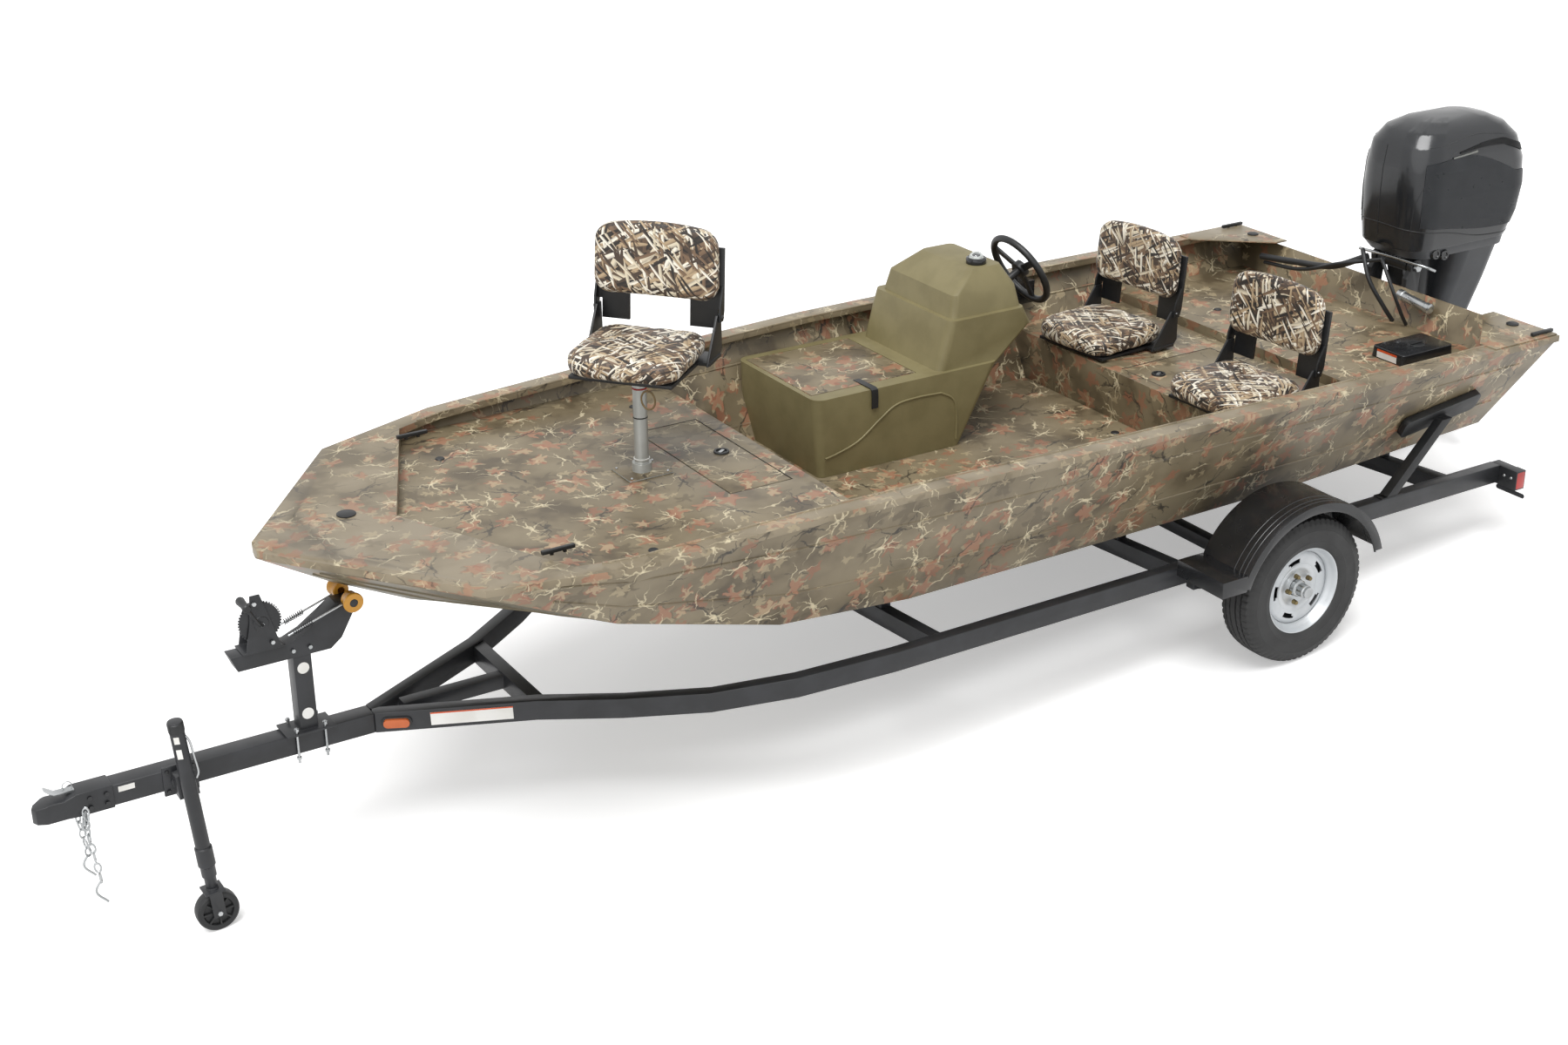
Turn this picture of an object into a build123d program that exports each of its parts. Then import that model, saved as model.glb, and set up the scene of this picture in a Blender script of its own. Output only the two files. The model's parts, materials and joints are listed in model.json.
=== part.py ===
from build123d import *
import math
import os

# Jon boat on its single-axle trailer, in millimetres.
# The pieces are drawn in the boat's own frame: X forward, Y to port, Z up square to the bow deck,
# with the origin under the axle. At the end they are turned nose-up about the axle line by the angle
# at which the trailer stands on its jack, and set at the height of the tyres' radius.

# Stance on the ground
PARK_PITCH = 4.535
SETBACK = 1209.0
FIT = 0.3

# Wheels and axle: the axle's height in the boat's frame, then the wheels
AXLE_Z = 303.5
TYRE_RADIUS = 303.5
TYRE_WIDTH = 178.0
RIM_RADIUS = 178.0
RIM_FACE_Y = 1085.0
RIM_WIDTH = 140.0
RIM_GAUGE = 6.0
HUB_RADIUS = 42.0
HUB_REACH = 64.0
LUG_CIRCLE = 57.15
LUG_COUNT = 5
SPINDLE_RADIUS = 16.0
AXLE_SIZE = 51.0
SPRING_HALF = 330.0
SPRING_DROP = 38.0
SPRING_GAUGE = 16.0
SPRING_WIDTH = 44.0

# Trailer frame
RAIL_WIDTH = 51.0
RAIL_HEIGHT = 76.2
RAIL_OUTER_Y = 850.0
TUBE_WALL = 3.2
TONGUE_WIDTH = 76.2
TONGUE_TOP = 282.0
TONGUE_FRONT = 4400.0
COUPLER_REAR = 4345.0
COUPLER_NOSE = 4606.0

# Hull
PLATE = 5.0
SHEER_CAP = 26.0
CAP_WIDTH = 78.0
FLOOR_Z = 620.0
DECK_Z = 941.5
DECK_AFT = 1809.5
BENCH_TOP = 832.0
BENCH_FRONT = -20.0
BENCH_REAR = -650.0
REAR_DECK_Z = 876.0
SHEET = 5.0
LID_GAP = 4.0

# Hatch in the bow deck
HATCH_AFT = DECK_AFT + 71.2
HATCH_FRONT = HATCH_AFT + 259.3
HATCH_HALF = 353.0

# Console
CONSOLE_PORT_Y = -238.0
CONSOLE_STARBOARD_Y = -850.0
LOCKER_TOP = 950.0
LOCKER_FRONT = 1405.0
LOCKER_AFT = 905.0

# Seats
CUSHION_WIDTH = 450.0
CUSHION_DEPTH = 420.0
CUSHION_THICK = 84.0
BACK_HEIGHT = 279.0
BACK_THICK = 52.0
BACK_LEAN = 5.0
PEDESTAL_X = HATCH_FRONT + 166.0
PEDESTAL_HEIGHT = 402.0
POST_RADIUS = 26.0

# Outboard
STEER_X = -1640.0
TILT_X = -1500.0
TILT_Z = 1105.0
COWL_BASE = 1195.0
COWL_TOP = 1745.0
PROP_RADIUS = 156.0
PROP_Z = 372.0

# Jack, drawn upright on the ground
JACK_X = 4107.0
JACK_Y = 122.0
JACK_TOP = 829.0
JACK_RADIUS = 25.4
CASTER_RADIUS = 75.0
CASTER_WIDTH = 46.0

# Hull stations from stern to bow: x at the chine, lean aft in degrees, half-breadth and height of
# the chine, height of the keel, half-breadth and height of the sheer
STATIONS = (
    (-1339.0, 14.2, 700.0, 598.0, 560.0, 968.0, 1046.0),
    (-300.0, 0.0, 700.0, 547.0, 507.0, 976.0, 1052.0),
    (1030.0, 0.0, 700.0, 532.0, 480.0, 956.0, 1055.0),
    (1600.0, 0.0, 700.0, 528.0, 470.0, 920.0, 1049.0),
    (2150.0, 0.0, 700.0, 569.0, 464.0, 886.0, 1036.0),
    (2770.0, 0.0, 675.0, 728.0, 502.0, 858.0, 1012.0),
    (3234.0, 0.0, 690.0, 944.0, 665.0, 723.0, 993.0),
    (3520.0, 0.0, 338.0, 952.0, 806.0, 345.0, 992.0),
    (3768.0, 0.0, 14.0, 960.0, 954.0, 22.0, 991.5),
)

# Outer top edge of the port frame rail: x, y, z
RAIL_EDGE = (
    (3420.0, 38.1, 282.0),
    (2898.0, 295.0, 300.0),
    (2642.0, 468.0, 312.0),
    (2390.0, 650.0, 345.0),
    (2120.0, 785.0, 388.0),
    (1750.0, 846.0, 412.0),
    (330.0, 850.0, 420.0),
    (-430.0, 850.0, 452.0),
    (-1330.0, 850.0, 455.0),
)

# Cross members: x, drop at the middle
CROSS_MEMBERS = (
    (2890.0, 0.0),
    (1540.0, 60.0),
    (400.0, 60.0),
    (-1060.0, 60.0),
)

os.makedirs("parts", exist_ok=True)
PIECES = {}
park = (Location((-SETBACK, 0, TYRE_RADIUS)) * Location((0, 0, 0), (0, -PARK_PITCH, 0))
        * Location((0, 0, -AXLE_Z)))
upright = Location((-SETBACK, 0, 0))


def keep(builder, label, place=park):
    """Moves a finished piece onto the parked trailer and writes its file."""
    piece = place * builder.part
    piece.label = label
    PIECES[label] = piece
    export_step(piece, f"parts/{label}.step")


def station_plane(x, lean, z):
    """Gives the sketch plane of a hull station, across the boat, leaning aft at its top."""
    turn = math.radians(lean)
    return Plane(origin=(x, 0, z), x_dir=(0, 1, 0), z_dir=(math.cos(turn), 0, math.sin(turn)))


def hull_form(inset, rise, trim_aft=0.0, trim_bow=0.0):
    """Lofts the hull's form through its stations, inset by a plate and raised above the sheer."""
    with BuildPart() as form:
        for x, lean, chine_y, chine_z, keel_z, sheer_y, sheer_z in STATIONS:
            if x == STATIONS[0][0]:
                x += trim_aft
            if x == STATIONS[-1][0]:
                x -= trim_bow
            slope = 1.0 / math.cos(math.radians(lean))
            in_y = min(inset, 0.8 * chine_y)
            keel = (keel_z + 1.3 * inset - chine_z) * slope
            chine = inset * slope * 0.9
            top_y = sheer_y + min(rise, 0) * (sheer_y - chine_y) / (sheer_z - chine_z)
            side = [(chine_y - in_y, chine), (top_y - in_y, (sheer_z + min(rise, 0) - chine_z) * slope)]
            if rise > 0:
                side.append((sheer_y - in_y, (sheer_z + rise - chine_z) * slope))
            with BuildSketch(station_plane(x, lean, chine_z)):
                with BuildLine():
                    Polyline((0, keel), *side, *[(-y, z) for y, z in reversed(side)], close=True)
                make_face()
        loft(ruled=True)
    return form.part


def tube(route, width, height):
    """Lofts an upright rectangular tube through a route's points, mitred at each one."""
    with BuildPart() as bar:
        for index, point in enumerate(route):
            before = route[max(index - 1, 0)]
            after = route[min(index + 1, len(route) - 1)]
            first = Vector(point[0] - before[0], point[1] - before[1], 0)
            last = Vector(after[0] - point[0], after[1] - point[1], 0)
            first = last if first.length < 1e-6 else first
            last = first if last.length < 1e-6 else last
            along = (first.normalized() + last.normalized()).normalized()
            stretch = 1.0 / along.dot(first.normalized())
            across = Vector(0, 0, 1).cross(along)
            with BuildSketch(Plane(origin=point, x_dir=across, z_dir=along)):
                Rectangle(width * stretch, height)
        loft(ruled=True)
    return bar.part


def hollow_tube(route, width, height):
    """Gives a tube along a route with its bore open at both ends."""
    with BuildPart() as bar:
        add(tube(route, width, height))
        add(tube(route, width - 2 * TUBE_WALL, height - 2 * TUBE_WALL), mode=Mode.SUBTRACT)
    return bar.part


def between(table, x, column):
    """Reads a column of a table of places at x, in line between its rows."""
    for near, far in zip(table, table[1:]):
        if min(near[0], far[0]) <= x <= max(near[0], far[0]):
            return near[column] + (far[column] - near[column]) * (x - near[0]) / (far[0] - near[0])
    return min(table, key=lambda row: abs(row[0] - x))[column]


def hull_bottom(x, y):
    """Gives the height of the hull's bottom at a place abaft the bow."""
    chine_y, chine_z, keel_z = (between(STATIONS, x, column) for column in (2, 3, 4))
    return keel_z + (chine_z - keel_z) * y / chine_y


def transom_x(z):
    """Gives where the transom's outer face stands at a height."""
    return STATIONS[0][0] - (z - STATIONS[0][3]) * math.tan(math.radians(STATIONS[0][1]))


def hull_side(x, z):
    """Gives the half-breadth of the hull's side at a height."""
    stations = ((transom_x(z), *STATIONS[0][1:]), *STATIONS[1:])
    chine_y, chine_z, sheer_y, sheer_z = (between(stations, x, column) for column in (2, 3, 5, 6))
    return chine_y + (sheer_y - chine_y) * (z - chine_z) / (sheer_z - chine_z)


cavity = hull_form(PLATE + FIT, 320.0, PLATE + 2.0, 30.0)

# Hull: bottom, sides and transom of one plate
with BuildPart() as hull:
    add(hull_form(0.0, -SHEER_CAP - FIT))
    add(hull_form(PLATE, 60.0, PLATE + 1.0, 24.0), mode=Mode.SUBTRACT)
keep(hull, "hull")

# Gunwale caps, from the stern corners round to the stem
cap_route = [
    (x - 12.0 * (x < -1300.0) - 93.0 * (x < -1300.0), sheer_y - CAP_WIDTH / 2, sheer_z - SHEER_CAP / 2)
    for x, lean, chine_y, chine_z, keel_z, sheer_y, sheer_z in STATIONS[:7]
]
cap_route.append((3728.0, 30.0, 991.5 - SHEER_CAP / 2))
PLATE_WINGS = 2850.0
PLATE_NOTCH = 3262.0
PLATE_LIP = 6.0
with BuildPart() as bow_plate:
    for x, lean, chine_y, chine_z, keel_z, sheer_y, sheer_z in STATIONS[4:]:
        with BuildSketch(station_plane(x, lean, sheer_z - SHEER_CAP)):
            Rectangle(2 * sheer_y - 2 * FIT, SHEER_CAP, align=(Align.CENTER, Align.MIN))
    loft(ruled=True)
    with BuildSketch(Plane.XY.offset(DECK_Z)):
        Polygon((PLATE_NOTCH, 0), (PLATE_WINGS, 950), (4000, 950), (4000, -950), (PLATE_WINGS, -950),
                align=None)
    extrude(amount=200, mode=Mode.INTERSECT)
with BuildPart() as plate_riser:
    with BuildSketch(Plane.XY.offset(DECK_Z + FIT)):
        Polygon((PLATE_NOTCH, 0), (PLATE_WINGS, 950), (PLATE_WINGS + PLATE_LIP, 950),
                (PLATE_NOTCH + PLATE_LIP, 0), (PLATE_WINGS + PLATE_LIP, -950), (PLATE_WINGS, -950),
                align=None)
    extrude(amount=40)
    add(cavity, mode=Mode.INTERSECT)
with BuildPart() as gunwales:
    add(tube(cap_route, CAP_WIDTH, SHEER_CAP))
    mirror(about=Plane.XZ)
    add(bow_plate.part)
    add(plate_riser.part)
keep(gunwales, "gunwales")

# Sheets are drawn wider than the hull and trimmed to its inside
DECK_REACH = 3700.0
DECK_SPAN = 1900.0
STERN_REACH = -1600.0
FLOOR_FRONT = DECK_AFT + 400.0
FLOOR_REAR = BENCH_REAR - 700.0

# Floor
with BuildPart() as floor:
    with BuildSketch(Plane.XY.offset(FLOOR_Z - SHEET)):
        with Locations(((FLOOR_FRONT + FLOOR_REAR) / 2, 0)):
            Rectangle(FLOOR_FRONT - FLOOR_REAR, DECK_SPAN)
    extrude(amount=SHEET)
    add(cavity, mode=Mode.INTERSECT)
keep(floor, "floor")

# Lids rest on a lip inside a gutter that hangs from the deck round the opening
LID_GAUGE = 12.0
LIP = 3.0
LIP_REACH = 18.0
REST_GAP = 0.4


def gutter(aft, front, half, top):
    """Gives the gutter and lip round a lid's opening in a deck whose top is at a height."""
    with BuildPart() as channel:
        with BuildSketch(Plane.XY.offset(top - LID_GAUGE - REST_GAP - LIP)):
            with Locations(((aft + front) / 2, 0)):
                Rectangle(front - aft + 2 * LIP, 2 * (half + LIP))
                Rectangle(front - aft - 2 * LIP_REACH, 2 * (half - LIP_REACH), mode=Mode.SUBTRACT)
        extrude(amount=LIP)
        with BuildSketch(Plane.XY.offset(top - LID_GAUGE - REST_GAP - LIP)):
            with Locations(((aft + front) / 2, 0)):
                Rectangle(front - aft + 2 * LIP, 2 * (half + LIP))
                Rectangle(front - aft, 2 * half, mode=Mode.SUBTRACT)
        extrude(amount=LID_GAUGE + REST_GAP + LIP - SHEET / 2)
    return channel.part


# Bow deck with its hatch opening and aft riser
with BuildPart() as bow_deck:
    with BuildSketch(Plane.XY.offset(DECK_Z - SHEET)):
        with Locations(((DECK_AFT + DECK_REACH) / 2, 0)):
            Rectangle(DECK_REACH - DECK_AFT, DECK_SPAN)
        with Locations(((HATCH_AFT + HATCH_FRONT) / 2, 0)):
            Rectangle(HATCH_FRONT - HATCH_AFT, 2 * HATCH_HALF, mode=Mode.SUBTRACT)
    extrude(amount=SHEET)
    with BuildSketch(Plane.XY.offset(FLOOR_Z + FIT)):
        with Locations((DECK_AFT + SHEET / 2, 0)):
            Rectangle(SHEET, DECK_SPAN)
    extrude(amount=DECK_Z - SHEET - FLOOR_Z - FIT)
    add(cavity, mode=Mode.INTERSECT)
    add(gutter(HATCH_AFT, HATCH_FRONT, HATCH_HALF, DECK_Z))
keep(bow_deck, "bow_deck")

with BuildPart() as deck_hatch:
    with BuildSketch(Plane.XY.offset(DECK_Z - LID_GAUGE)):
        with Locations(((HATCH_AFT + HATCH_FRONT) / 2, 0)):
            Rectangle(HATCH_FRONT - HATCH_AFT - 2 * LID_GAP, 2 * (HATCH_HALF - LID_GAP))
    extrude(amount=LID_GAUGE)
keep(deck_hatch, "deck_hatch")

# Aft deck: bench box with a lid opening, riser and stern deck
BENCH_LID_HALF = 140.0
BENCH_LID_FRONT = BENCH_FRONT - 50.0
BENCH_LID_REAR = BENCH_REAR + 90.0
with BuildPart() as aft_deck:
    with BuildSketch(Plane.XZ):
        with BuildLine():
            Polyline(
                (BENCH_FRONT, FLOOR_Z + FIT),
                (BENCH_FRONT, BENCH_TOP),
                (BENCH_REAR, BENCH_TOP),
                (BENCH_REAR, REAR_DECK_Z),
                (STERN_REACH, REAR_DECK_Z),
                (STERN_REACH, REAR_DECK_Z - SHEET),
                (BENCH_REAR - SHEET, REAR_DECK_Z - SHEET),
                (BENCH_REAR - SHEET, BENCH_TOP - SHEET),
                (BENCH_FRONT - SHEET, BENCH_TOP - SHEET),
                (BENCH_FRONT - SHEET, FLOOR_Z + FIT),
                close=True,
            )
        make_face()
    extrude(amount=DECK_SPAN / 2, both=True)
    with BuildSketch(Plane.XY.offset(FLOOR_Z + FIT)):
        with Locations((BENCH_REAR - SHEET / 2, 0)):
            Rectangle(SHEET, DECK_SPAN)
    extrude(amount=BENCH_TOP - FLOOR_Z - SHEET)
    add(cavity, mode=Mode.INTERSECT)
    with BuildSketch(Plane.XY.offset(BENCH_TOP - SHEET - 1)):
        with Locations(((BENCH_LID_FRONT + BENCH_LID_REAR) / 2, 0)):
            Rectangle(BENCH_LID_FRONT - BENCH_LID_REAR, 2 * BENCH_LID_HALF)
    extrude(amount=SHEET + 2, mode=Mode.SUBTRACT)
    add(gutter(BENCH_LID_REAR, BENCH_LID_FRONT, BENCH_LID_HALF, BENCH_TOP))
keep(aft_deck, "aft_deck")

with BuildPart() as bench_lid:
    with BuildSketch(Plane.XY.offset(BENCH_TOP - LID_GAUGE)):
        with Locations(((BENCH_LID_FRONT + BENCH_LID_REAR) / 2, 0)):
            Rectangle(BENCH_LID_FRONT - BENCH_LID_REAR - 2 * LID_GAP, 2 * (BENCH_LID_HALF - LID_GAP))
    extrude(amount=LID_GAUGE)
keep(bench_lid, "bench_lid")

# Fuel filler box on the stern deck
with BuildPart() as fuel_box:
    with BuildSketch(Plane.XY.offset(REAR_DECK_Z + FIT)):
        with Locations((-1130, 480)):
            RectangleRounded(300, 190, 22)
    extrude(amount=46, taper=6)
    with BuildSketch(Plane.XY.offset(REAR_DECK_Z + 46)):
        with Locations((-1150, 480)):
            RectangleRounded(220, 150, 16)
    extrude(amount=-26, mode=Mode.SUBTRACT)
    with Locations((-1150, 480, REAR_DECK_Z + 20)):
        Cylinder(44, 26, align=(Align.CENTER, Align.CENTER, Align.MIN))
keep(fuel_box, "fuel_box")

# Console: moulded locker, body and hood, hollow inside
CONSOLE_WALL = 8.0
LID_STARBOARD = -814.0
LID_PORT = -306.0
LID_AFT = LOCKER_AFT - 29.0
LID_FRONT = LOCKER_FRONT - 23.0
LID_MIDDLE = ((LID_AFT + LID_FRONT) / 2, (LID_STARBOARD + LID_PORT) / 2)
LID_LENGTH = LID_FRONT - LID_AFT
LID_BREADTH = LID_PORT - LID_STARBOARD
LID_SEAT = 14.0
RING_DEPTH = 10.0
RING_REACH = 24.0
RING_WALL = 8.0
LEDGE_Z = 1156.0
HOOD_TOP = 1325.0
LOCKER = (
    (FLOOR_Z + FIT, 698.0, LOCKER_FRONT - 18, CONSOLE_STARBOARD_Y, CONSOLE_PORT_Y + 2, 26.0),
    (LOCKER_TOP, 500.0, LOCKER_FRONT, CONSOLE_STARBOARD_Y, CONSOLE_PORT_Y, 50.0),
)
DASH_BODY = (
    (LOCKER_TOP - 20, 500.0, 808.0, -815.0, CONSOLE_PORT_Y - 18, 36.0),
    (1081.0, 330.0, 768.0, -815.0, CONSOLE_PORT_Y - 14, 36.0),
    (LEDGE_Z, 370.0, 748.0, -810.0, CONSOLE_PORT_Y - 12, 36.0),
)
HOOD = (
    (LEDGE_Z, 372.0, 726.0, -785.0, CONSOLE_PORT_Y - 36, 30.0),
    (LEDGE_Z + 90, 392.0, 708.0, -765.0, CONSOLE_PORT_Y - 50, 30.0),
    (HOOD_TOP, 428.0, 590.0, -700.0, CONSOLE_PORT_Y - 112, 26.0),
)


def tower(levels, inset=0.0, drop=0.0):
    """Lofts rounded oblongs: height, aft and front ends, starboard and port sides, corner radius."""
    with BuildPart() as form:
        for z, aft, front, starboard, port, corner in levels:
            with BuildSketch(Plane.XY.offset(z - drop)):
                with Locations(((aft + front) / 2, (starboard + port) / 2)):
                    RectangleRounded(front - aft - 2 * inset, port - starboard - 2 * inset, corner - inset)
        loft(ruled=True)
    return form.part


with BuildPart() as console_core:
    for levels in (LOCKER, DASH_BODY, HOOD):
        add(tower(levels, CONSOLE_WALL, CONSOLE_WALL))
    with BuildSketch(Plane.XY.offset(LEDGE_Z - CONSOLE_WALL - 4)):
        with Locations((560, (CONSOLE_PORT_Y - 800) / 2)):
            Rectangle(260, 380)
    extrude(amount=2 * CONSOLE_WALL)
    with BuildSketch(Plane.XY.offset(FLOOR_Z)):
        Rectangle(6000, 3000)
    extrude(amount=10, mode=Mode.SUBTRACT)
    add(hull_form(PLATE + FIT + CONSOLE_WALL, 420.0, PLATE + 2.0, 30.0), mode=Mode.INTERSECT)
with BuildPart() as console:
    for levels in (LOCKER, DASH_BODY, HOOD):
        add(tower(levels))
    add(cavity, mode=Mode.INTERSECT)
    add(console_core.part, mode=Mode.SUBTRACT)
    with BuildSketch(Plane.XY.offset(LOCKER_TOP - 40)):
        with Locations(LID_MIDDLE):
            Rectangle(LID_LENGTH, LID_BREADTH)
    extrude(amount=60, mode=Mode.SUBTRACT)
    with BuildSketch(Plane.XY.offset(LOCKER_TOP - LID_SEAT - RING_DEPTH)):
        with Locations(LID_MIDDLE):
            Rectangle(LID_LENGTH + RING_WALL, LID_BREADTH + RING_WALL)
            Rectangle(LID_LENGTH - RING_REACH, LID_BREADTH - RING_REACH, mode=Mode.SUBTRACT)
    extrude(amount=RING_DEPTH)
    with BuildSketch(Plane.XY.offset(LOCKER_TOP - LID_SEAT - RING_DEPTH)):
        with Locations(LID_MIDDLE):
            Rectangle(LID_LENGTH + RING_WALL, LID_BREADTH + RING_WALL)
            Rectangle(LID_LENGTH, LID_BREADTH, mode=Mode.SUBTRACT)
    extrude(amount=RING_DEPTH + LID_SEAT - 2.0)
keep(console, "console")

with BuildPart() as locker_lid:
    with BuildSketch(Plane.XY.offset(LOCKER_TOP - LID_SEAT + FIT)):
        with Locations(LID_MIDDLE):
            Rectangle(LID_LENGTH - 2 * LID_GAP, LID_BREADTH - 2 * LID_GAP)
    extrude(amount=LID_SEAT + 1)
keep(locker_lid, "locker_lid")

# Compass on the dash and throttle box on the starboard side
WHEEL_TILT = 62.0
WHEEL_Y = -560.0
COLUMN = 200.0
COLUMN_GAP = 1.0
COLUMN_FOOT = (342.5, 1107.0)
COMPASS_X = 512.0
COMPASS_Y = -412.0
THROTTLE_X = -60.0
THROTTLE_FOOT = 925.0
THROTTLE_LENGTH = 150.0
throttle_top = between(STATIONS, THROTTLE_X, 6) - SHEER_CAP - FIT
throttle_out = hull_side(THROTTLE_X + THROTTLE_LENGTH / 2, THROTTLE_FOOT) - 1.2 * PLATE - FIT
with BuildPart() as helm_fittings:
    with Locations((COMPASS_X, COMPASS_Y, HOOD_TOP + FIT)):
        Cylinder(42, 16, align=(Align.CENTER, Align.CENTER, Align.MIN))
        with Locations((0, 0, 16)):
            Sphere(30, arc_size1=0)
    with Locations((THROTTLE_X, -throttle_out, THROTTLE_FOOT)):
        Box(THROTTLE_LENGTH, 58, throttle_top - THROTTLE_FOOT, align=(Align.CENTER, Align.MIN, Align.MIN))
    with Locations(Location((THROTTLE_X, -throttle_out + 68, THROTTLE_FOOT + 60), (0, 20, 0))):
        Box(26, 22, 130, align=(Align.CENTER, Align.CENTER, Align.MIN))
keep(helm_fittings, "helm_fittings")

wheel_turn = math.radians(WHEEL_TILT)
wheel_plane = Plane(
    origin=(COLUMN_FOOT[0] - COLUMN * math.sin(wheel_turn), WHEEL_Y,
            COLUMN_FOOT[1] + COLUMN * math.cos(wheel_turn)),
    x_dir=(0, 1, 0), z_dir=(-math.sin(wheel_turn), 0, math.cos(wheel_turn)))
RIM_HALF = 160.0
with BuildPart() as steering_wheel:
    with Locations(wheel_plane.location):
        Torus(RIM_HALF, 15)
        with PolarLocations(0, 3, start_angle=90):
            Box(RIM_HALF - 6, 30, 10, align=(Align.MIN, Align.CENTER, Align.CENTER))
        Cylinder(38, 30)
        Cylinder(16, COLUMN - COLUMN_GAP, align=(Align.CENTER, Align.CENTER, Align.MAX))
keep(steering_wheel, "steering_wheel")

# Pedestal under the bow seat
with BuildPart() as pedestal:
    with Locations((PEDESTAL_X, 0, DECK_Z + FIT)):
        Box(178, 150, 5, align=(Align.CENTER, Align.CENTER, Align.MIN))
        Cylinder(36, 40, align=(Align.CENTER, Align.CENTER, Align.MIN))
        Cylinder(POST_RADIUS, PEDESTAL_HEIGHT - 12, align=(Align.CENTER, Align.CENTER, Align.MIN))
keep(pedestal, "pedestal")

# Seats: name, place of the swivel top, heading to port in degrees, height of the swivel plate
SEATS = (
    ("bow", PEDESTAL_X, 0.0, DECK_Z + PEDESTAL_HEIGHT, 40.0, 12.0),
    ("helm", -195.0, -438.0, BENCH_TOP + 12.0, 5.0, 12.0),
    ("port", -180.0, 434.0, BENCH_TOP + 14.0, 4.0, 14.0),
)
HINGE_BACK = -204.0
HINGE_RISE = 147.0
PAD_FOOT = 57.0
PAD_BACK = -14.0
SHELL_FOOT = 27.0
SHELL_TOP = 250.0
SHELL_GAUGE = 12.0
SHELL_LEG = 118.0
LEG_FOOT = -46.0
LEG_ARCH = 102.0
PAN_GAUGE = 12.0
EAR_Y = CUSHION_WIDTH / 2 + 8.0
for name, seat_x, seat_y, seat_z, heading, riser in SEATS:
    stand = Location((seat_x, seat_y, seat_z), (0, 0, heading))
    hinge = Location((HINGE_BACK, 0, HINGE_RISE), (0, -BACK_LEAN, 0))
    with BuildPart() as seat_frame:
        with Locations((0, 0, -riser + 2 * FIT)):
            Cylinder(70, riser, align=(Align.CENTER, Align.CENTER, Align.MIN))
        with Locations((0, 0, 0)):
            Box(CUSHION_DEPTH - 60, CUSHION_WIDTH - 60, PAN_GAUGE,
                align=(Align.CENTER, Align.CENTER, Align.MIN))
        with Locations(*[(HINGE_BACK + 60, y, 0) for y in (-EAR_Y + 30, EAR_Y - 30)]):
            Box(120, 76, PAN_GAUGE, align=(Align.CENTER, Align.CENTER, Align.MIN))
        for side in (-1, 1):
            with BuildSketch(Plane.XZ.offset(-side * EAR_Y - 4)):
                with BuildLine():
                    Polyline((HINGE_BACK + 130, 0), (HINGE_BACK + 120, 20),
                             (HINGE_BACK + 22, HINGE_RISE + 12), (HINGE_BACK - 18, HINGE_RISE + 12),
                             (HINGE_BACK - 20, 30), (HINGE_BACK, 0), close=True)
                make_face()
            extrude(amount=8)
            with Locations(Location((HINGE_BACK, side * (EAR_Y + 4), HINGE_RISE), (-90 * side, 0, 0))):
                Cylinder(6, 12, align=(Align.CENTER, Align.CENTER, Align.MIN))
    keep(seat_frame, f"{name}_seat_frame", park * stand)
    with BuildPart() as cushion:
        with Locations((6, 0, PAN_GAUGE + FIT)):
            Box(CUSHION_DEPTH, CUSHION_WIDTH, CUSHION_THICK, align=(Align.CENTER, Align.CENTER, Align.MIN))
        fillet(cushion.edges().filter_by(Axis.Z), 60)
        fillet(cushion.edges().group_by(Axis.Z)[-1], 24)
    keep(cushion, f"{name}_cushion", park * stand)
    with BuildPart() as back_frame:
        for side in (-1, 1):
            with BuildSketch(Plane.XZ.offset(-side * (EAR_Y + 9.5) - 4)):
                with BuildLine():
                    Polyline((-16, -16), (16, -16), (14, 40), (-8, 110), (PAD_BACK - FIT - SHELL_GAUGE, 110),
                             (PAD_BACK - FIT - SHELL_GAUGE, 20), close=True)
                make_face()
                with Locations((0, 0)):
                    Circle(6 + FIT, mode=Mode.SUBTRACT)
            extrude(amount=8)
        with BuildSketch(Plane(origin=(PAD_BACK - FIT, 0, 0), x_dir=(0, 1, 0), z_dir=(-1, 0, 0))):
            with Locations((0, -SHELL_FOOT)):
                Rectangle(2 * EAR_Y + 27, SHELL_TOP - SHELL_FOOT, align=(Align.CENTER, Align.MAX))
            with Locations((0, -LEG_FOOT)):
                Rectangle(2 * EAR_Y - 16, LEG_ARCH - LEG_FOOT, align=(Align.CENTER, Align.MAX))
                Rectangle(2 * SHELL_LEG, LEG_ARCH - LEG_FOOT, align=(Align.CENTER, Align.MAX),
                          mode=Mode.SUBTRACT)
        extrude(amount=SHELL_GAUGE)
    keep(back_frame, f"{name}_back_frame", park * stand * hinge)
    with BuildPart() as back_pad:
        with Locations((PAD_BACK, 0, PAD_FOOT)):
            Box(BACK_THICK, CUSHION_WIDTH, BACK_HEIGHT, align=(Align.MIN, Align.CENTER, Align.MIN))
        fillet(back_pad.edges().filter_by(Axis.X).group_by(Axis.Z)[-1], 55)
    keep(back_pad, f"{name}_back_pad", park * stand * hinge)

# Mooring cleats on the caps
CLEAT_SPAN = 31.0
with BuildPart() as cleats:
    for x, inward in ((2945, 160), (-1380, 0)):
        cap_y = between(STATIONS, x, 5) - CAP_WIDTH / 2 - inward
        cap_z = max(between(STATIONS, x - CLEAT_SPAN, 6), between(STATIONS, x + CLEAT_SPAN, 6))
        with Locations((x, cap_y, cap_z + 3 * FIT)):
            with Locations((0, 0, 14)):
                Box(120, 14, 12)
            with Locations((-24, 0, 0), (24, 0, 0)):
                Cylinder(7, 14, align=(Align.CENTER, Align.CENTER, Align.MIN))
    mirror(about=Plane.XZ)
keep(cleats, "cleats")

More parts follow.
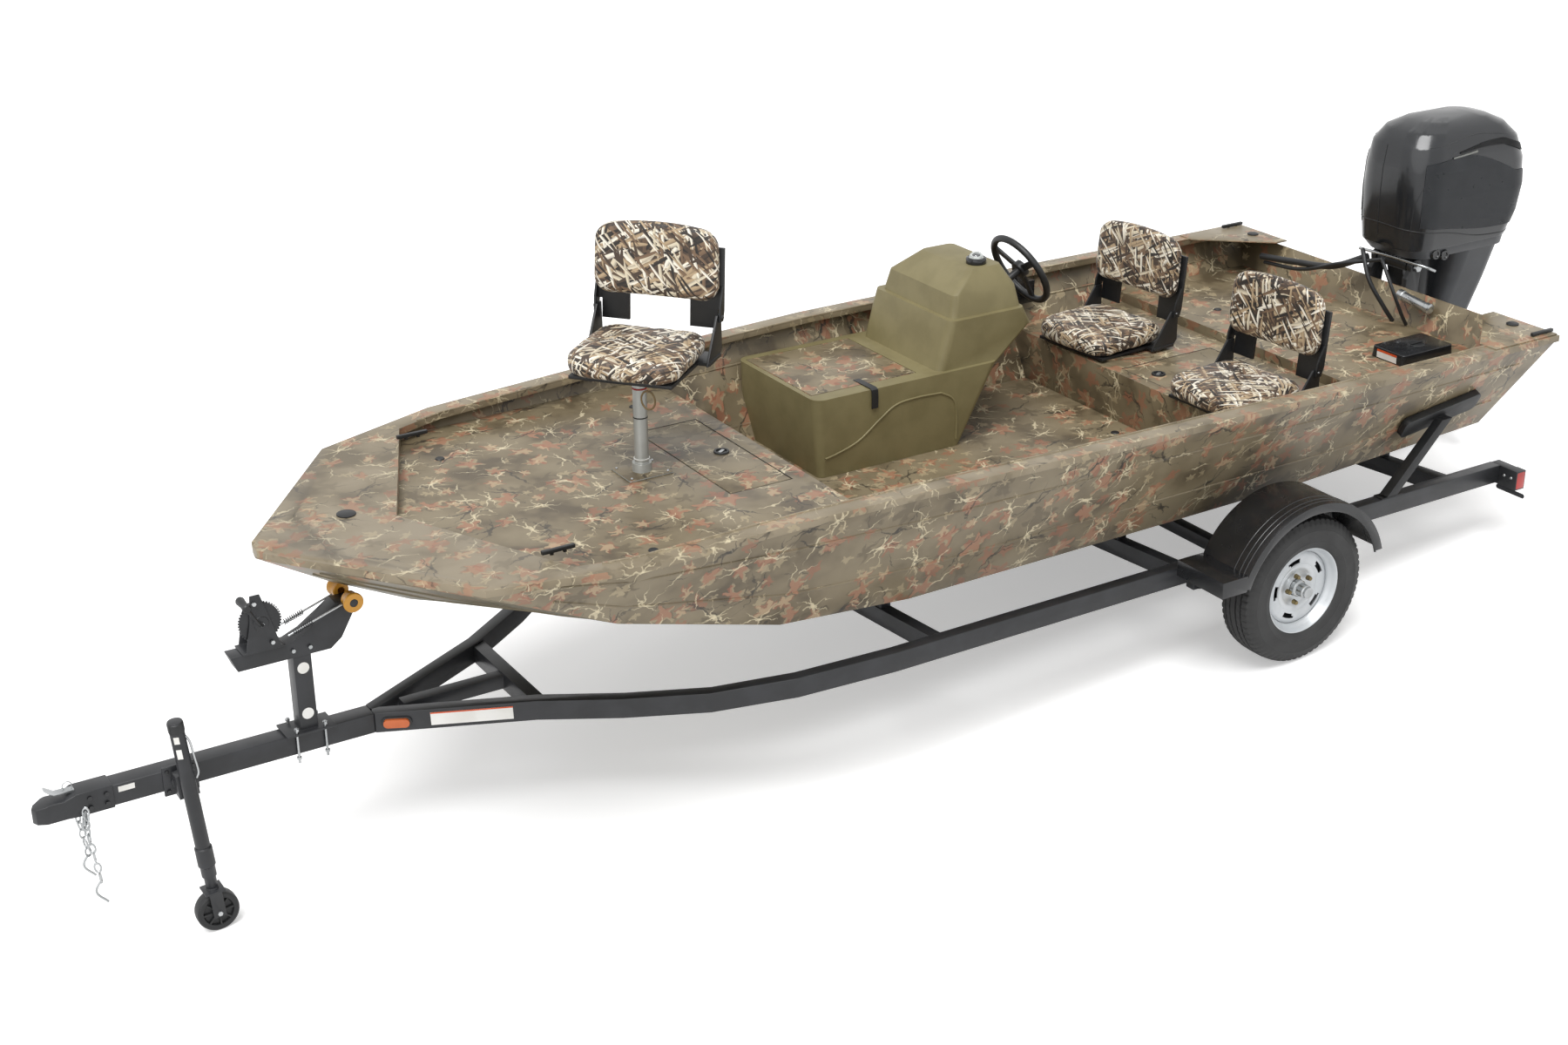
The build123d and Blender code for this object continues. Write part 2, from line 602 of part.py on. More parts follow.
# Outboard: clamp bracket on the transom
HEAD_RADIUS = 34.0
CLAMP_TOP = 1018.0
CLAMP_FOOT = 700.0
with BuildPart() as clamp_bracket:
    with BuildSketch(Plane.XZ.offset(-120)):
        with BuildLine():
            Polyline((transom_x(CLAMP_TOP) - 2 * FIT, CLAMP_TOP),
                     (transom_x(CLAMP_FOOT) - 2 * FIT, CLAMP_FOOT),
                     (transom_x(CLAMP_FOOT) - 60, CLAMP_FOOT), (TILT_X - 20, 980),
                     (TILT_X - HEAD_RADIUS, TILT_Z), (TILT_X + HEAD_RADIUS - 4, TILT_Z - 14),
                     (transom_x(CLAMP_TOP) - 2 * FIT, CLAMP_TOP + 40), close=True)
        make_face()
        with Locations((TILT_X, TILT_Z)):
            Circle(HEAD_RADIUS)
            Circle(14 + FIT, mode=Mode.SUBTRACT)
    extrude(amount=28)
    mirror(about=Plane.XZ)
keep(clamp_bracket, "clamp_bracket")

with BuildPart() as swivel_bracket:
    with Locations(Location((TILT_X, 0, TILT_Z), (90, 0, 0))):
        Cylinder(14, 240)
        Cylinder(30, 168)
    with BuildSketch(Plane.XZ):
        with BuildLine():
            Polyline((TILT_X + 16, TILT_Z + 14), (STEER_X + 30, TILT_Z + 8), (STEER_X + 30, 790),
                     (STEER_X + 70, 780), (TILT_X - 30, 960), (TILT_X + 6, TILT_Z - 26), close=True)
        make_face()
    extrude(amount=46, both=True)
    with Locations((STEER_X, 0, 780)):
        Cylinder(52, TILT_Z + 8 - 780, align=(Align.CENTER, Align.CENTER, Align.MIN))
        Cylinder(24 + FIT, 400, align=(Align.CENTER, Align.CENTER, Align.MIN), mode=Mode.SUBTRACT)
keep(swivel_bracket, "swivel_bracket")

# Midsection: steering post and yokes, skirt tray and leg
SKIRT = (
    (COWL_BASE - FIT, 630.0, 366.0, -74.0, 112.0),
    (COWL_BASE - 44, 590.0, 334.0, -95.0, 100.0),
)
LEG = (
    (COWL_BASE - 40, 327.0, 290.0, -231.5, 100.0),
    (980.0, 287.0, 220.0, -211.5, 80.0),
    (820.0, 242.0, 150.0, -189.0, 60.0),
    (548.0, 190.0, 90.0, -178.0, 40.0),
)


def stack(levels, inset=0.0):
    """Lofts rounded oblongs: height, length, breadth, place along the boat, corner radius."""
    with BuildPart() as form:
        for z, length, breadth, place, corner in levels:
            with BuildSketch(Plane.XY.offset(z)):
                with Locations((STEER_X + place, 0)):
                    RectangleRounded(length - 2 * inset, breadth - 2 * inset, corner - inset)
        loft(ruled=True)
    return form.part


with BuildPart() as midsection:
    with Locations((STEER_X, 0, 742)):
        Cylinder(24, TILT_Z + 30 - 742, align=(Align.CENTER, Align.CENTER, Align.MIN))
    add(stack(SKIRT))
    add(stack(LEG))
    for z, rise in ((TILT_Z + 16, COWL_BASE - TILT_Z - 50), (735, 39)):
        with BuildSketch(Plane.XY.offset(z)):
            with Locations((STEER_X - 60, 0)):
                RectangleRounded(240, 100, 40)
        extrude(amount=rise)
keep(midsection, "midsection")

# Cowl over the power head
COWL = (
    (COWL_BASE, 640.0, 374.0, -75.0, 120.0),
    (COWL_BASE + 105, 695.0, 398.0, -92.0, 130.0),
    (COWL_BASE + 225, 720.0, 408.0, -100.0, 136.0),
    (COWL_BASE + 345, 708.0, 400.0, -96.0, 136.0),
    (COWL_BASE + 445, 655.0, 372.0, -82.0, 132.0),
    (COWL_TOP - 45, 545.0, 310.0, -72.0, 118.0),
    (COWL_TOP - 12, 380.0, 220.0, -76.0, 90.0),
    (COWL_TOP, 240.0, 130.0, -80.0, 56.0),
)
COWL_WALL = 5.0
with BuildPart() as cowl:
    add(stack(COWL))
    lowered = [(z - COWL_WALL, *row) for z, *row in COWL]
    add(stack(lowered, COWL_WALL), mode=Mode.SUBTRACT)
keep(cowl, "cowl")

with BuildPart() as power_head:
    with Locations((STEER_X - 60, 0, COWL_BASE)):
        Box(360, 230, 400, align=(Align.CENTER, Align.CENTER, Align.MIN))
keep(power_head, "power_head")

# Lower unit: plate, strut, torpedo, skeg and shaft
PLATE_Z = 540.0
GEAR_RADIUS = 48.0
GEAR_FRONT = STEER_X + 66.0
GEAR_REAR = STEER_X - 228.0
with BuildPart() as lower_unit:
    with BuildSketch(Plane.XY.offset(PLATE_Z)):
        with Locations((STEER_X - 215, 0)):
            RectangleRounded(390, 190, 60)
    extrude(amount=8 - FIT)
    with BuildSketch(Plane.XY.offset(PROP_Z)):
        with Locations((STEER_X - 110, 0)):
            Ellipse(108, 24)
    with BuildSketch(Plane.XY.offset(PLATE_Z)):
        with Locations((STEER_X - 130, 0)):
            Ellipse(106, 42)
    loft(ruled=True)
    with BuildSketch(Plane.XZ):
        with BuildLine():
            ThreePointArc((GEAR_FRONT, PROP_Z), (GEAR_FRONT - 30, PROP_Z + 0.7 * GEAR_RADIUS),
                          (GEAR_FRONT - 110, PROP_Z + GEAR_RADIUS))
            Polyline((GEAR_FRONT - 110, PROP_Z + GEAR_RADIUS), (GEAR_REAR, PROP_Z + GEAR_RADIUS - 2),
                     (GEAR_REAR, PROP_Z), (GEAR_FRONT, PROP_Z))
        make_face()
    revolve(axis=Axis((0, 0, PROP_Z), (1, 0, 0)))
    with BuildSketch(Plane.XZ):
        with BuildLine():
            Polyline((STEER_X - 30, PROP_Z - 30), (STEER_X - 140, 214), (STEER_X - 205, 214),
                     (STEER_X - 190, PROP_Z - 30), close=True)
        make_face()
    extrude(amount=6, both=True)
    with Locations(Location((GEAR_REAR + 5, 0, PROP_Z), (0, -90, 0))):
        Cylinder(11, 110, align=(Align.CENTER, Align.CENTER, Align.MIN))
keep(lower_unit, "lower_unit")

BLADE_COUNT = 3
with BuildPart() as propeller:
    with Locations(Location((GEAR_REAR - 6, 0, PROP_Z), (0, -90, 0))):
        Cylinder(46, 112, align=(Align.CENTER, Align.CENTER, Align.MIN))
    for index in range(BLADE_COUNT):
        turn = Location((GEAR_REAR - 60, 0, PROP_Z), (index * 360 / BLADE_COUNT, 0, 0))
        with BuildSketch(Plane(turn * Location((0, 0, 40), (0, 0, 30)))):
            RectangleRounded(7, 74, 3)
        with BuildSketch(Plane(turn * Location((0, 0, 104), (0, 0, 46)))):
            RectangleRounded(6, 108, 2.9)
        with BuildSketch(Plane(turn * Location((0, 0, PROP_RADIUS), (0, 0, 58)))):
            RectangleRounded(4, 60, 1.9)
        loft(ruled=True)
    with Locations(Location((GEAR_REAR - 2, 0, PROP_Z), (0, -90, 0))):
        Cylinder(11 + FIT, 112, align=(Align.CENTER, Align.CENTER, Align.MIN), mode=Mode.SUBTRACT)
keep(propeller, "propeller")

# Trailer rails, tongue and cross members
def rail_route(side):
    """Gives the middle line of a frame rail from its outer top edge."""
    return [(x, side * (y - RAIL_WIDTH / 2), z - RAIL_HEIGHT / 2) for x, y, z in RAIL_EDGE]


for side, label in ((1, "rail_port"), (-1, "rail_starboard")):
    with BuildPart() as rail:
        add(hollow_tube(rail_route(side), RAIL_WIDTH, RAIL_HEIGHT))
        with Locations((RAIL_EDGE[0][0], side * FIT / 2, TONGUE_TOP)):
            Box(500, 240, 240, align=(Align.CENTER, Align.MAX if side > 0 else Align.MIN, Align.CENTER),
                mode=Mode.SUBTRACT)
            Box(100, 400, 240, align=(Align.MIN, Align.CENTER, Align.CENTER), mode=Mode.SUBTRACT)
    keep(rail, label)

with BuildPart() as tongue:
    with Locations(((RAIL_EDGE[0][0] + TONGUE_FRONT) / 2 + FIT, 0, TONGUE_TOP - RAIL_HEIGHT / 2)):
        Box(TONGUE_FRONT - RAIL_EDGE[0][0] - 2 * FIT, TONGUE_WIDTH, RAIL_HEIGHT)
        Box(TONGUE_FRONT - RAIL_EDGE[0][0] + 20, TONGUE_WIDTH - 2 * TUBE_WALL, RAIL_HEIGHT - 2 * TUBE_WALL,
            mode=Mode.SUBTRACT)
keep(tongue, "tongue")

NECK = COUPLER_NOSE - 126.0
BALL_X = COUPLER_NOSE - 58.0
BALL_RADIUS = 25.6
with BuildPart() as coupler:
    with BuildSketch(Plane.XY.offset(TONGUE_TOP - RAIL_HEIGHT - 4)):
        with BuildLine():
            Polyline((COUPLER_REAR, -42), (NECK - 14, -42), (NECK + 20, -37), (BALL_X + 18, -37),
                     (COUPLER_NOSE - 10, -22), (COUPLER_NOSE, 0), (COUPLER_NOSE - 10, 22), (BALL_X + 18, 37),
                     (NECK + 20, 37), (NECK - 14, 42), (COUPLER_REAR, 42), close=True)
        make_face()
    extrude(amount=RAIL_HEIGHT + 8)
    with BuildSketch(Plane.XZ):
        with BuildLine():
            Polyline((NECK - 14, TONGUE_TOP + 20), (COUPLER_NOSE + 20, TONGUE_TOP + 20),
                     (COUPLER_NOSE + 20, TONGUE_TOP - 34), (COUPLER_NOSE - 14, TONGUE_TOP - 24),
                     (BALL_X + 6, TONGUE_TOP - 12), (NECK + 24, TONGUE_TOP - 14), (NECK - 14, TONGUE_TOP + 4),
                     close=True)
        make_face()
    extrude(amount=80, both=True, mode=Mode.SUBTRACT)
    with Locations((COUPLER_REAR, 0, TONGUE_TOP - RAIL_HEIGHT / 2)):
        Box(TONGUE_FRONT - COUPLER_REAR + FIT, TONGUE_WIDTH + 2 * FIT, RAIL_HEIGHT + 2 * FIT,
            align=(Align.MIN, Align.CENTER, Align.CENTER), mode=Mode.SUBTRACT)
    with Locations((BALL_X, 0, TONGUE_TOP - RAIL_HEIGHT - 16)):
        Cylinder(BALL_RADIUS, 52, align=(Align.CENTER, Align.CENTER, Align.MIN), mode=Mode.SUBTRACT)
keep(coupler, "coupler")

SPINE_SETBACK = 118.0
with BuildPart() as cross_members:
    for x, drop in CROSS_MEMBERS:
        half = between(RAIL_EDGE, x, 1) - RAIL_WIDTH / 2
        low = between(RAIL_EDGE, x, 2) - RAIL_HEIGHT / 2 - 4.0
        add(hollow_tube(((x, half, low), (x, 0, low - drop), (x, -half, low)), RAIL_WIDTH, RAIL_HEIGHT - 8))
    for side in (1, -1):
        add(tube(rail_route(side), RAIL_WIDTH + 2 * FIT, RAIL_HEIGHT + 2 * FIT), mode=Mode.SUBTRACT)
    front_x = CROSS_MEMBERS[0][0] + RAIL_WIDTH / 2 - 1.0
    spine_rear = RAIL_EDGE[0][0] - SPINE_SETBACK
    with Locations((front_x, 0, between(RAIL_EDGE, front_x, 2) - RAIL_HEIGHT / 2 - 4.0)):
        Box(spine_rear - front_x, RAIL_WIDTH, RAIL_WIDTH, align=(Align.MIN, Align.CENTER, Align.CENTER))
keep(cross_members, "cross_members")

# Bunk boards under the hull, on brackets from the cross members
BUNK_Y = 430.0
BUNK_WIDTH = 140.0
BUNK_GAUGE = 38.0
BUNK_GAP = 0.8
BUNK_ENDS = (-1180.0, 1600.0)


def bunk_top(x):
    """Gives the height of a bunk's flat top, just under the hull's bottom."""
    return hull_bottom(x, BUNK_Y - BUNK_WIDTH / 2) - BUNK_GAP


bunk_stops = [BUNK_ENDS[0], *[row[0] for row in STATIONS[1:4]]]
with BuildPart() as bunks:
    add(tube([(x, BUNK_Y, bunk_top(x) - BUNK_GAUGE / 2) for x in bunk_stops], BUNK_WIDTH, BUNK_GAUGE))
    mirror(about=Plane.XZ)
keep(bunks, "bunks")

with BuildPart() as bunk_brackets:
    for x, drop in CROSS_MEMBERS[1:]:
        half = between(RAIL_EDGE, x, 1) - RAIL_WIDTH / 2
        foot = between(RAIL_EDGE, x, 2) - 8.0 - drop * (1 - (BUNK_Y + 35) / half) + FIT
        head = bunk_top(x) - BUNK_GAUGE - 2.0
        with Locations((x, BUNK_Y, foot)):
            Box(44, 70, head - foot, align=(Align.CENTER, Align.CENTER, Align.MIN))
    mirror(about=Plane.XZ)
keep(bunk_brackets, "bunk_brackets")

# Axle, springs and hangers
WHEEL_CENTRE_Y = RIM_FACE_Y - RIM_WIDTH / 2
with BuildPart() as axle:
    with Locations((0, 0, AXLE_Z)):
        Box(AXLE_SIZE, 2 * (WHEEL_CENTRE_Y - 100), AXLE_SIZE)
    with Locations(Location((0, 0, AXLE_Z), (90, 0, 0))):
        Cylinder(SPINDLE_RADIUS, 2 * (RIM_FACE_Y - 44))
keep(axle, "axle")

SPRING_Y = RAIL_OUTER_Y - RAIL_WIDTH / 2
SPRING_TOP = AXLE_Z - AXLE_SIZE / 2 - FIT
with BuildPart() as springs:
    with BuildSketch(Plane.XZ.offset(-SPRING_Y - SPRING_WIDTH / 2)):
        with BuildLine():
            ThreePointArc((-SPRING_HALF, SPRING_TOP + SPRING_DROP), (0, SPRING_TOP),
                          (SPRING_HALF, SPRING_TOP + SPRING_DROP))
            Line((SPRING_HALF, SPRING_TOP + SPRING_DROP),
                 (SPRING_HALF, SPRING_TOP + SPRING_DROP - SPRING_GAUGE))
            ThreePointArc((SPRING_HALF, SPRING_TOP + SPRING_DROP - SPRING_GAUGE),
                          (0, SPRING_TOP - SPRING_GAUGE),
                          (-SPRING_HALF, SPRING_TOP + SPRING_DROP - SPRING_GAUGE))
            Line((-SPRING_HALF, SPRING_TOP + SPRING_DROP - SPRING_GAUGE),
                 (-SPRING_HALF, SPRING_TOP + SPRING_DROP))
        make_face()
    extrude(amount=SPRING_WIDTH)
    for x in (-SPRING_HALF, SPRING_HALF):
        head = between(RAIL_EDGE, x, 2) - RAIL_HEIGHT - 1.6
        foot = SPRING_TOP + SPRING_DROP - SPRING_GAUGE
        with Locations((x, SPRING_Y, foot)):
            Box(46, SPRING_WIDTH, head - foot, align=(Align.CENTER, Align.CENTER, Align.MIN))
    with Locations((0, SPRING_Y, SPRING_TOP - SPRING_GAUGE)):
        Box(110, 60, 10, align=(Align.CENTER, Align.CENTER, Align.MAX))
    mirror(about=Plane.XZ)
keep(springs, "springs")

# Fenders with an inner wall, brackets to the rail and a front step
FENDER_RADIUS = TYRE_RADIUS + 74.5
FENDER_INNER_Y = 872.0
FENDER_OUTER_Y = 1128.0
FENDER_GAUGE = 4.0
STEP_LENGTH = 124.0
STEP_HEIGHT = 66.0
STEP_TOP = 470.0
STEP_AFT = FENDER_RADIUS - 34.0
FENDER_END = 108.0
FENDER_LIP = 34.0
with BuildPart() as fenders:
    with BuildSketch(Plane.XZ.offset(-FENDER_OUTER_Y)):
        with Locations((0, AXLE_Z)):
            Circle(FENDER_RADIUS)
            Circle(FENDER_RADIUS - FENDER_GAUGE, mode=Mode.SUBTRACT)
        with Locations((0, AXLE_Z + FENDER_END)):
            Rectangle(900, 900, align=(Align.CENTER, Align.MAX), mode=Mode.SUBTRACT)
    extrude(amount=FENDER_OUTER_Y - FENDER_INNER_Y)
    with BuildSketch(Plane.XZ.offset(-FENDER_OUTER_Y)):
        with Locations((0, AXLE_Z)):
            Circle(FENDER_RADIUS)
            Circle(FENDER_RADIUS - FENDER_LIP, mode=Mode.SUBTRACT)
        with Locations((0, AXLE_Z + FENDER_END)):
            Rectangle(900, 900, align=(Align.CENTER, Align.MAX), mode=Mode.SUBTRACT)
    extrude(amount=FENDER_GAUGE)
    with BuildSketch(Plane.XZ.offset(-FENDER_INNER_Y - FENDER_GAUGE)):
        with Locations((0, AXLE_Z)):
            Circle(FENDER_RADIUS)
        with Locations((0, AXLE_Z + FENDER_END)):
            Rectangle(900, 900, align=(Align.CENTER, Align.MAX), mode=Mode.SUBTRACT)
    extrude(amount=FENDER_GAUGE)
    with Locations((STEP_AFT, FENDER_INNER_Y, STEP_TOP - STEP_HEIGHT)):
        Box(STEP_LENGTH, FENDER_OUTER_Y - FENDER_INNER_Y, STEP_HEIGHT,
            align=(Align.MIN, Align.MIN, Align.MIN))
        with Locations((4, 4, -1)):
            Box(STEP_LENGTH - 8, FENDER_OUTER_Y - FENDER_INNER_Y - 8, STEP_HEIGHT - 3,
                align=(Align.MIN, Align.MIN, Align.MIN), mode=Mode.SUBTRACT)
    for x in (-120, 120):
        with Locations((x, RAIL_OUTER_Y + FIT, AXLE_Z + 124)):
            Box(40, FENDER_INNER_Y - RAIL_OUTER_Y, 30, align=(Align.CENTER, Align.MIN, Align.CENTER))
    mirror(about=Plane.XZ)
keep(fenders, "fenders")

# Wheels: tyre and rim on each side
TREAD_CORNER = 22.0
for side, name in ((1, "port"), (-1, "starboard")):
    with BuildPart() as tyre:
        half = TYRE_WIDTH / 2
        with BuildSketch(Plane.XY):
            with BuildLine():
                Polyline((RIM_RADIUS - 8, -half + 41), (RIM_RADIUS + FIT, -half + 41),
                         (RIM_RADIUS + FIT, -half + 16), (RIM_RADIUS + 30, -half + 3),
                         (RIM_RADIUS + 62, -half),
                         (TYRE_RADIUS - TREAD_CORNER, -half + 14), (TYRE_RADIUS, -half + 34),
                         (TYRE_RADIUS, half - 34), (TYRE_RADIUS - TREAD_CORNER, half - 14),
                         (RIM_RADIUS + 62, half), (RIM_RADIUS + 30, half - 3), (RIM_RADIUS + FIT, half - 16),
                         (RIM_RADIUS + FIT, half - 41), (RIM_RADIUS - 8, half - 41),
                         close=True)
            make_face()
        revolve(axis=Axis.Y)
    keep(tyre, f"tyre_{name}", park * Location((0, side * WHEEL_CENTRE_Y, AXLE_Z)))
    with BuildPart() as rim:
        half = RIM_WIDTH / 2
        bed = RIM_RADIUS - 8 - FIT
        with BuildSketch(Plane.XY):
            with BuildLine():
                Polyline((RIM_RADIUS, -half), (RIM_RADIUS, -half + 14), (bed, -half + 20), (bed, half - 20),
                         (RIM_RADIUS, half - 14), (RIM_RADIUS, half), (bed - 5, half), (bed - 6, half - 22),
                         (bed - 6, -half + 22), (bed - 5, -half), close=True)
            make_face()
        revolve(axis=Axis.Y)
        with Locations(Location((0, half - 34, 0), (90, 0, 0))):
            Cylinder(bed - 2, RIM_GAUGE)
            Cylinder(HUB_RADIUS, HUB_REACH)
            with PolarLocations(bed - 32, 10):
                Hole(11)
            with PolarLocations(LUG_CIRCLE, LUG_COUNT):
                Cylinder(11, 34)
            Hole(SPINDLE_RADIUS + FIT, 60)
        with Locations(Location((0, half - 34 + HUB_REACH / 2, 0), (90, 0, 0))):
            Cylinder(22, 30, align=(Align.CENTER, Align.CENTER, Align.MAX))
    place = Location((0, side * WHEEL_CENTRE_Y, AXLE_Z), (0, 0, 0 if side > 0 else 180))
    keep(rim, f"rim_{name}", park * place)

# Guide pads on their posts at the stern, laid against the hull's sides
PAD_X = -945.0
PAD_Z = 768.0
PAD_LENGTH = 400.0
PAD_HEIGHT = 104.0
PAD_GAUGE = 28.0
PAD_RISE = math.radians(11.0)
PAD_GAP = 2.5
STEP = 100.0
pad_at = Vector(PAD_X, hull_side(PAD_X, PAD_Z), PAD_Z)
pad_aft = Vector(PAD_X - STEP, hull_side(PAD_X - STEP, PAD_Z), PAD_Z)
pad_over = Vector(PAD_X, hull_side(PAD_X, PAD_Z + STEP), PAD_Z + STEP)
pad_out = (pad_at - pad_aft).cross(pad_over - pad_at).normalized() * -1
pad_along = (pad_aft - pad_at).normalized() * math.cos(PAD_RISE)
pad_along += (pad_over - pad_at).normalized() * math.sin(PAD_RISE)
pad_centre = pad_at + pad_out * (PAD_GAUGE / 2 + PAD_GAP)
with BuildPart() as guides:
    with BuildSketch(Plane(origin=pad_centre - pad_out * PAD_GAUGE / 2, x_dir=pad_along, z_dir=pad_out)):
        RectangleRounded(PAD_LENGTH, PAD_HEIGHT, 30)
    extrude(amount=PAD_GAUGE)
    post_head = pad_centre + pad_out * 16
    with BuildSketch(Plane.XY.offset(between(RAIL_EDGE, -700, 2) + 4)):
        with Locations((-700, RAIL_OUTER_Y - RAIL_WIDTH / 2)):
            Rectangle(56, 46)
    with BuildSketch(Plane.XY.offset(post_head.Z)):
        with Locations((post_head.X, post_head.Y + 14)):
            Rectangle(56, 40)
    loft(ruled=True)
    with Locations((-700, RAIL_OUTER_Y - RAIL_WIDTH / 2, between(RAIL_EDGE, -700, 2) + 0.8)):
        Box(120, RAIL_WIDTH, 4, align=(Align.CENTER, Align.CENTER, Align.MIN))
    mirror(about=Plane.XZ)
keep(guides, "guides")

# Tail lamps on brackets that stand out from the rails' ends
LAMP_Y = 897.0
RAIL_REAR = RAIL_EDGE[-1][0]
with BuildPart() as lights:
    with Locations((RAIL_REAR - FIT, RAIL_OUTER_Y - RAIL_WIDTH, RAIL_EDGE[-1][2] - 2)):
        Box(4, LAMP_Y - RAIL_OUTER_Y + RAIL_WIDTH, 84, align=(Align.MAX, Align.MIN, Align.MAX))
        Box(50, LAMP_Y - RAIL_OUTER_Y + RAIL_WIDTH, 4, align=(Align.MAX, Align.MIN, Align.MAX))
    with Locations((RAIL_REAR - FIT, LAMP_Y, RAIL_EDGE[-1][2] - 2)):
        Box(54, 46, 84, align=(Align.MAX, Align.MIN, Align.MAX))
    mirror(about=Plane.XZ)
keep(lights, "lights")

# Winch stand with its post, channel and neck, then the winch and the bow rollers
ARM_HALF = 34.0
ROLLER_X = 3472.0
ROLLER_Z = 746.0
ROLLER_PIN = 8.0
ROLLER_RADIUS = 36.0
ROLLER_WIDTH = 50.0
ARM_REST = ROLLER_Z - ROLLER_PIN - FIT
CHANNEL_FOOT = 573.0
WINCH_X = 3786.0
WINCH_SEAT = 630.0
WINCH_CHEEK = 40.0
GEAR_RISE = 104.0
GEAR_WHEEL = 71.0
with BuildPart() as winch_stand:
    with Locations((3655, 0, TONGUE_TOP + FIT)):
        Box(180, 110, 8, align=(Align.CENTER, Align.CENTER, Align.MIN))
        Box(64, 64, CHANNEL_FOOT + 20 - TONGUE_TOP, align=(Align.CENTER, Align.CENTER, Align.MIN))
    with BuildSketch(Plane.XZ):
        with BuildLine():
            Polyline((3880, CHANNEL_FOOT), (3550, CHANNEL_FOOT), (3508, 606), (ROLLER_X - 26, ARM_REST - 24),
                     (ROLLER_X - 26, ARM_REST), (ROLLER_X + 48, ARM_REST), (ROLLER_X + 92, 706), (3640, 655),
                     (3700, WINCH_SEAT), (3902, WINCH_SEAT), close=True)
        make_face()
    extrude(amount=ARM_HALF, both=True)
keep(winch_stand, "winch_stand")

with BuildPart() as winch:
    with Locations((WINCH_X, 0, WINCH_SEAT + FIT)):
        Box(150, 2 * WINCH_CHEEK + 6, 6, align=(Align.CENTER, Align.CENTER, Align.MIN))
    with Locations(Location((WINCH_X, 0, WINCH_SEAT + GEAR_RISE), (90, 0, 0))):
        Cylinder(26, 2 * WINCH_CHEEK + 12)
        with Locations((0, 0, -WINCH_CHEEK + 14)):
            Cylinder(GEAR_WHEEL, 8)
    for side, rise in ((1, 212.0), (-1, 150.0)):
        with BuildSketch(Plane.XZ.offset(-side * WINCH_CHEEK - 3)):
            with BuildLine():
                Polyline((WINCH_X - 62, WINCH_SEAT + FIT), (WINCH_X - 34, WINCH_SEAT + 112),
                         (WINCH_X - 4, WINCH_SEAT + rise), (WINCH_X + 30, WINCH_SEAT + rise),
                         (WINCH_X + 40, WINCH_SEAT + 112), (WINCH_X + 62, WINCH_SEAT + FIT), close=True)
            make_face()
        extrude(amount=6)
keep(winch, "winch")

with BuildPart() as bow_rollers:
    for side in (-1, 1):
        roller_y = side * (ARM_HALF + FIT + ROLLER_WIDTH / 2)
        with Locations(Location((ROLLER_X, roller_y, ROLLER_Z), (90, 0, 0))):
            Cylinder(ROLLER_RADIUS, ROLLER_WIDTH)
    with Locations(Location((ROLLER_X, 0, ROLLER_Z), (90, 0, 0))):
        Cylinder(ROLLER_PIN, 2 * (ARM_HALF + ROLLER_WIDTH))
keep(bow_rollers, "bow_rollers")

# Jack: bracket on the tongue, tube, fork and caster wheel, upright on the ground
def parked(x, y, z):
    """Gives where a point of the boat's frame stands once the trailer is parked."""
    turn = math.radians(PARK_PITCH)
    return (x * math.cos(turn) - (z - AXLE_Z) * math.sin(turn), y,
            TYRE_RADIUS + x * math.sin(turn) + (z - AXLE_Z) * math.cos(turn))


PIVOT_Z = parked(4120.0, 0.0, TONGUE_TOP - RAIL_HEIGHT / 2)[2]
with BuildPart() as jack_bracket:
    with Locations((4120, TONGUE_WIDTH / 2 + FIT, TONGUE_TOP - RAIL_HEIGHT / 2)):
        Box(120, 8, 110, align=(Align.CENTER, Align.MIN, Align.CENTER))
keep(jack_bracket, "jack_bracket")
with BuildPart() as jack_pivot:
    with Locations(Location((JACK_X, TONGUE_WIDTH / 2 + 8 + 2 * FIT, PIVOT_Z), (-90, 0, 0))):
        Cylinder(40, 18, align=(Align.CENTER, Align.CENTER, Align.MIN))
    with Locations((JACK_X, JACK_Y, 215)):
        Cylinder(JACK_RADIUS, JACK_TOP - 215, align=(Align.CENTER, Align.CENTER, Align.MIN))
    with Locations((JACK_X, TONGUE_WIDTH / 2 + 24, PIVOT_Z)):
        Box(70, JACK_Y - TONGUE_WIDTH / 2 - 40, 90, align=(Align.CENTER, Align.MIN, Align.CENTER))
    with Locations((JACK_X, JACK_Y, 170)):
        Cylinder(JACK_RADIUS - 5, 60, align=(Align.CENTER, Align.CENTER, Align.MIN))
keep(jack_pivot, "jack_tube", upright)
with BuildPart() as jack_fork:
    with Locations((JACK_X, JACK_Y, 160)):
        Cylinder(22, 10 - FIT, align=(Align.CENTER, Align.CENTER, Align.MIN))
    with Locations((JACK_X, JACK_Y, 155)):
        Box(70, CASTER_WIDTH + 24, 6, align=(Align.CENTER, Align.CENTER, Align.MIN))
    for side in (-1, 1):
        with Locations((JACK_X, JACK_Y + side * (CASTER_WIDTH / 2 + 8), 60)):
            Box(44, 6, 98, align=(Align.CENTER, Align.CENTER, Align.MIN))
    with Locations(Location((JACK_X, JACK_Y, CASTER_RADIUS), (90, 0, 0))):
        Cylinder(7, CASTER_WIDTH + 24)
keep(jack_fork, "jack_fork", upright)
with BuildPart() as jack_wheel:
    with Locations(Location((JACK_X, JACK_Y, CASTER_RADIUS), (90, 0, 0))):
        Cylinder(CASTER_RADIUS, CASTER_WIDTH)
        Cylinder(7 + FIT, CASTER_WIDTH + 2, mode=Mode.SUBTRACT)
keep(jack_wheel, "jack_wheel", upright)

whole = Compound(children=list(PIECES.values()))
box = whole.bounding_box()
print("box", [round(v, 1) for v in (*box.min, *box.max)])
print("centre x", round((box.min.X + box.max.X) / 2, 1), "pieces", len(PIECES))
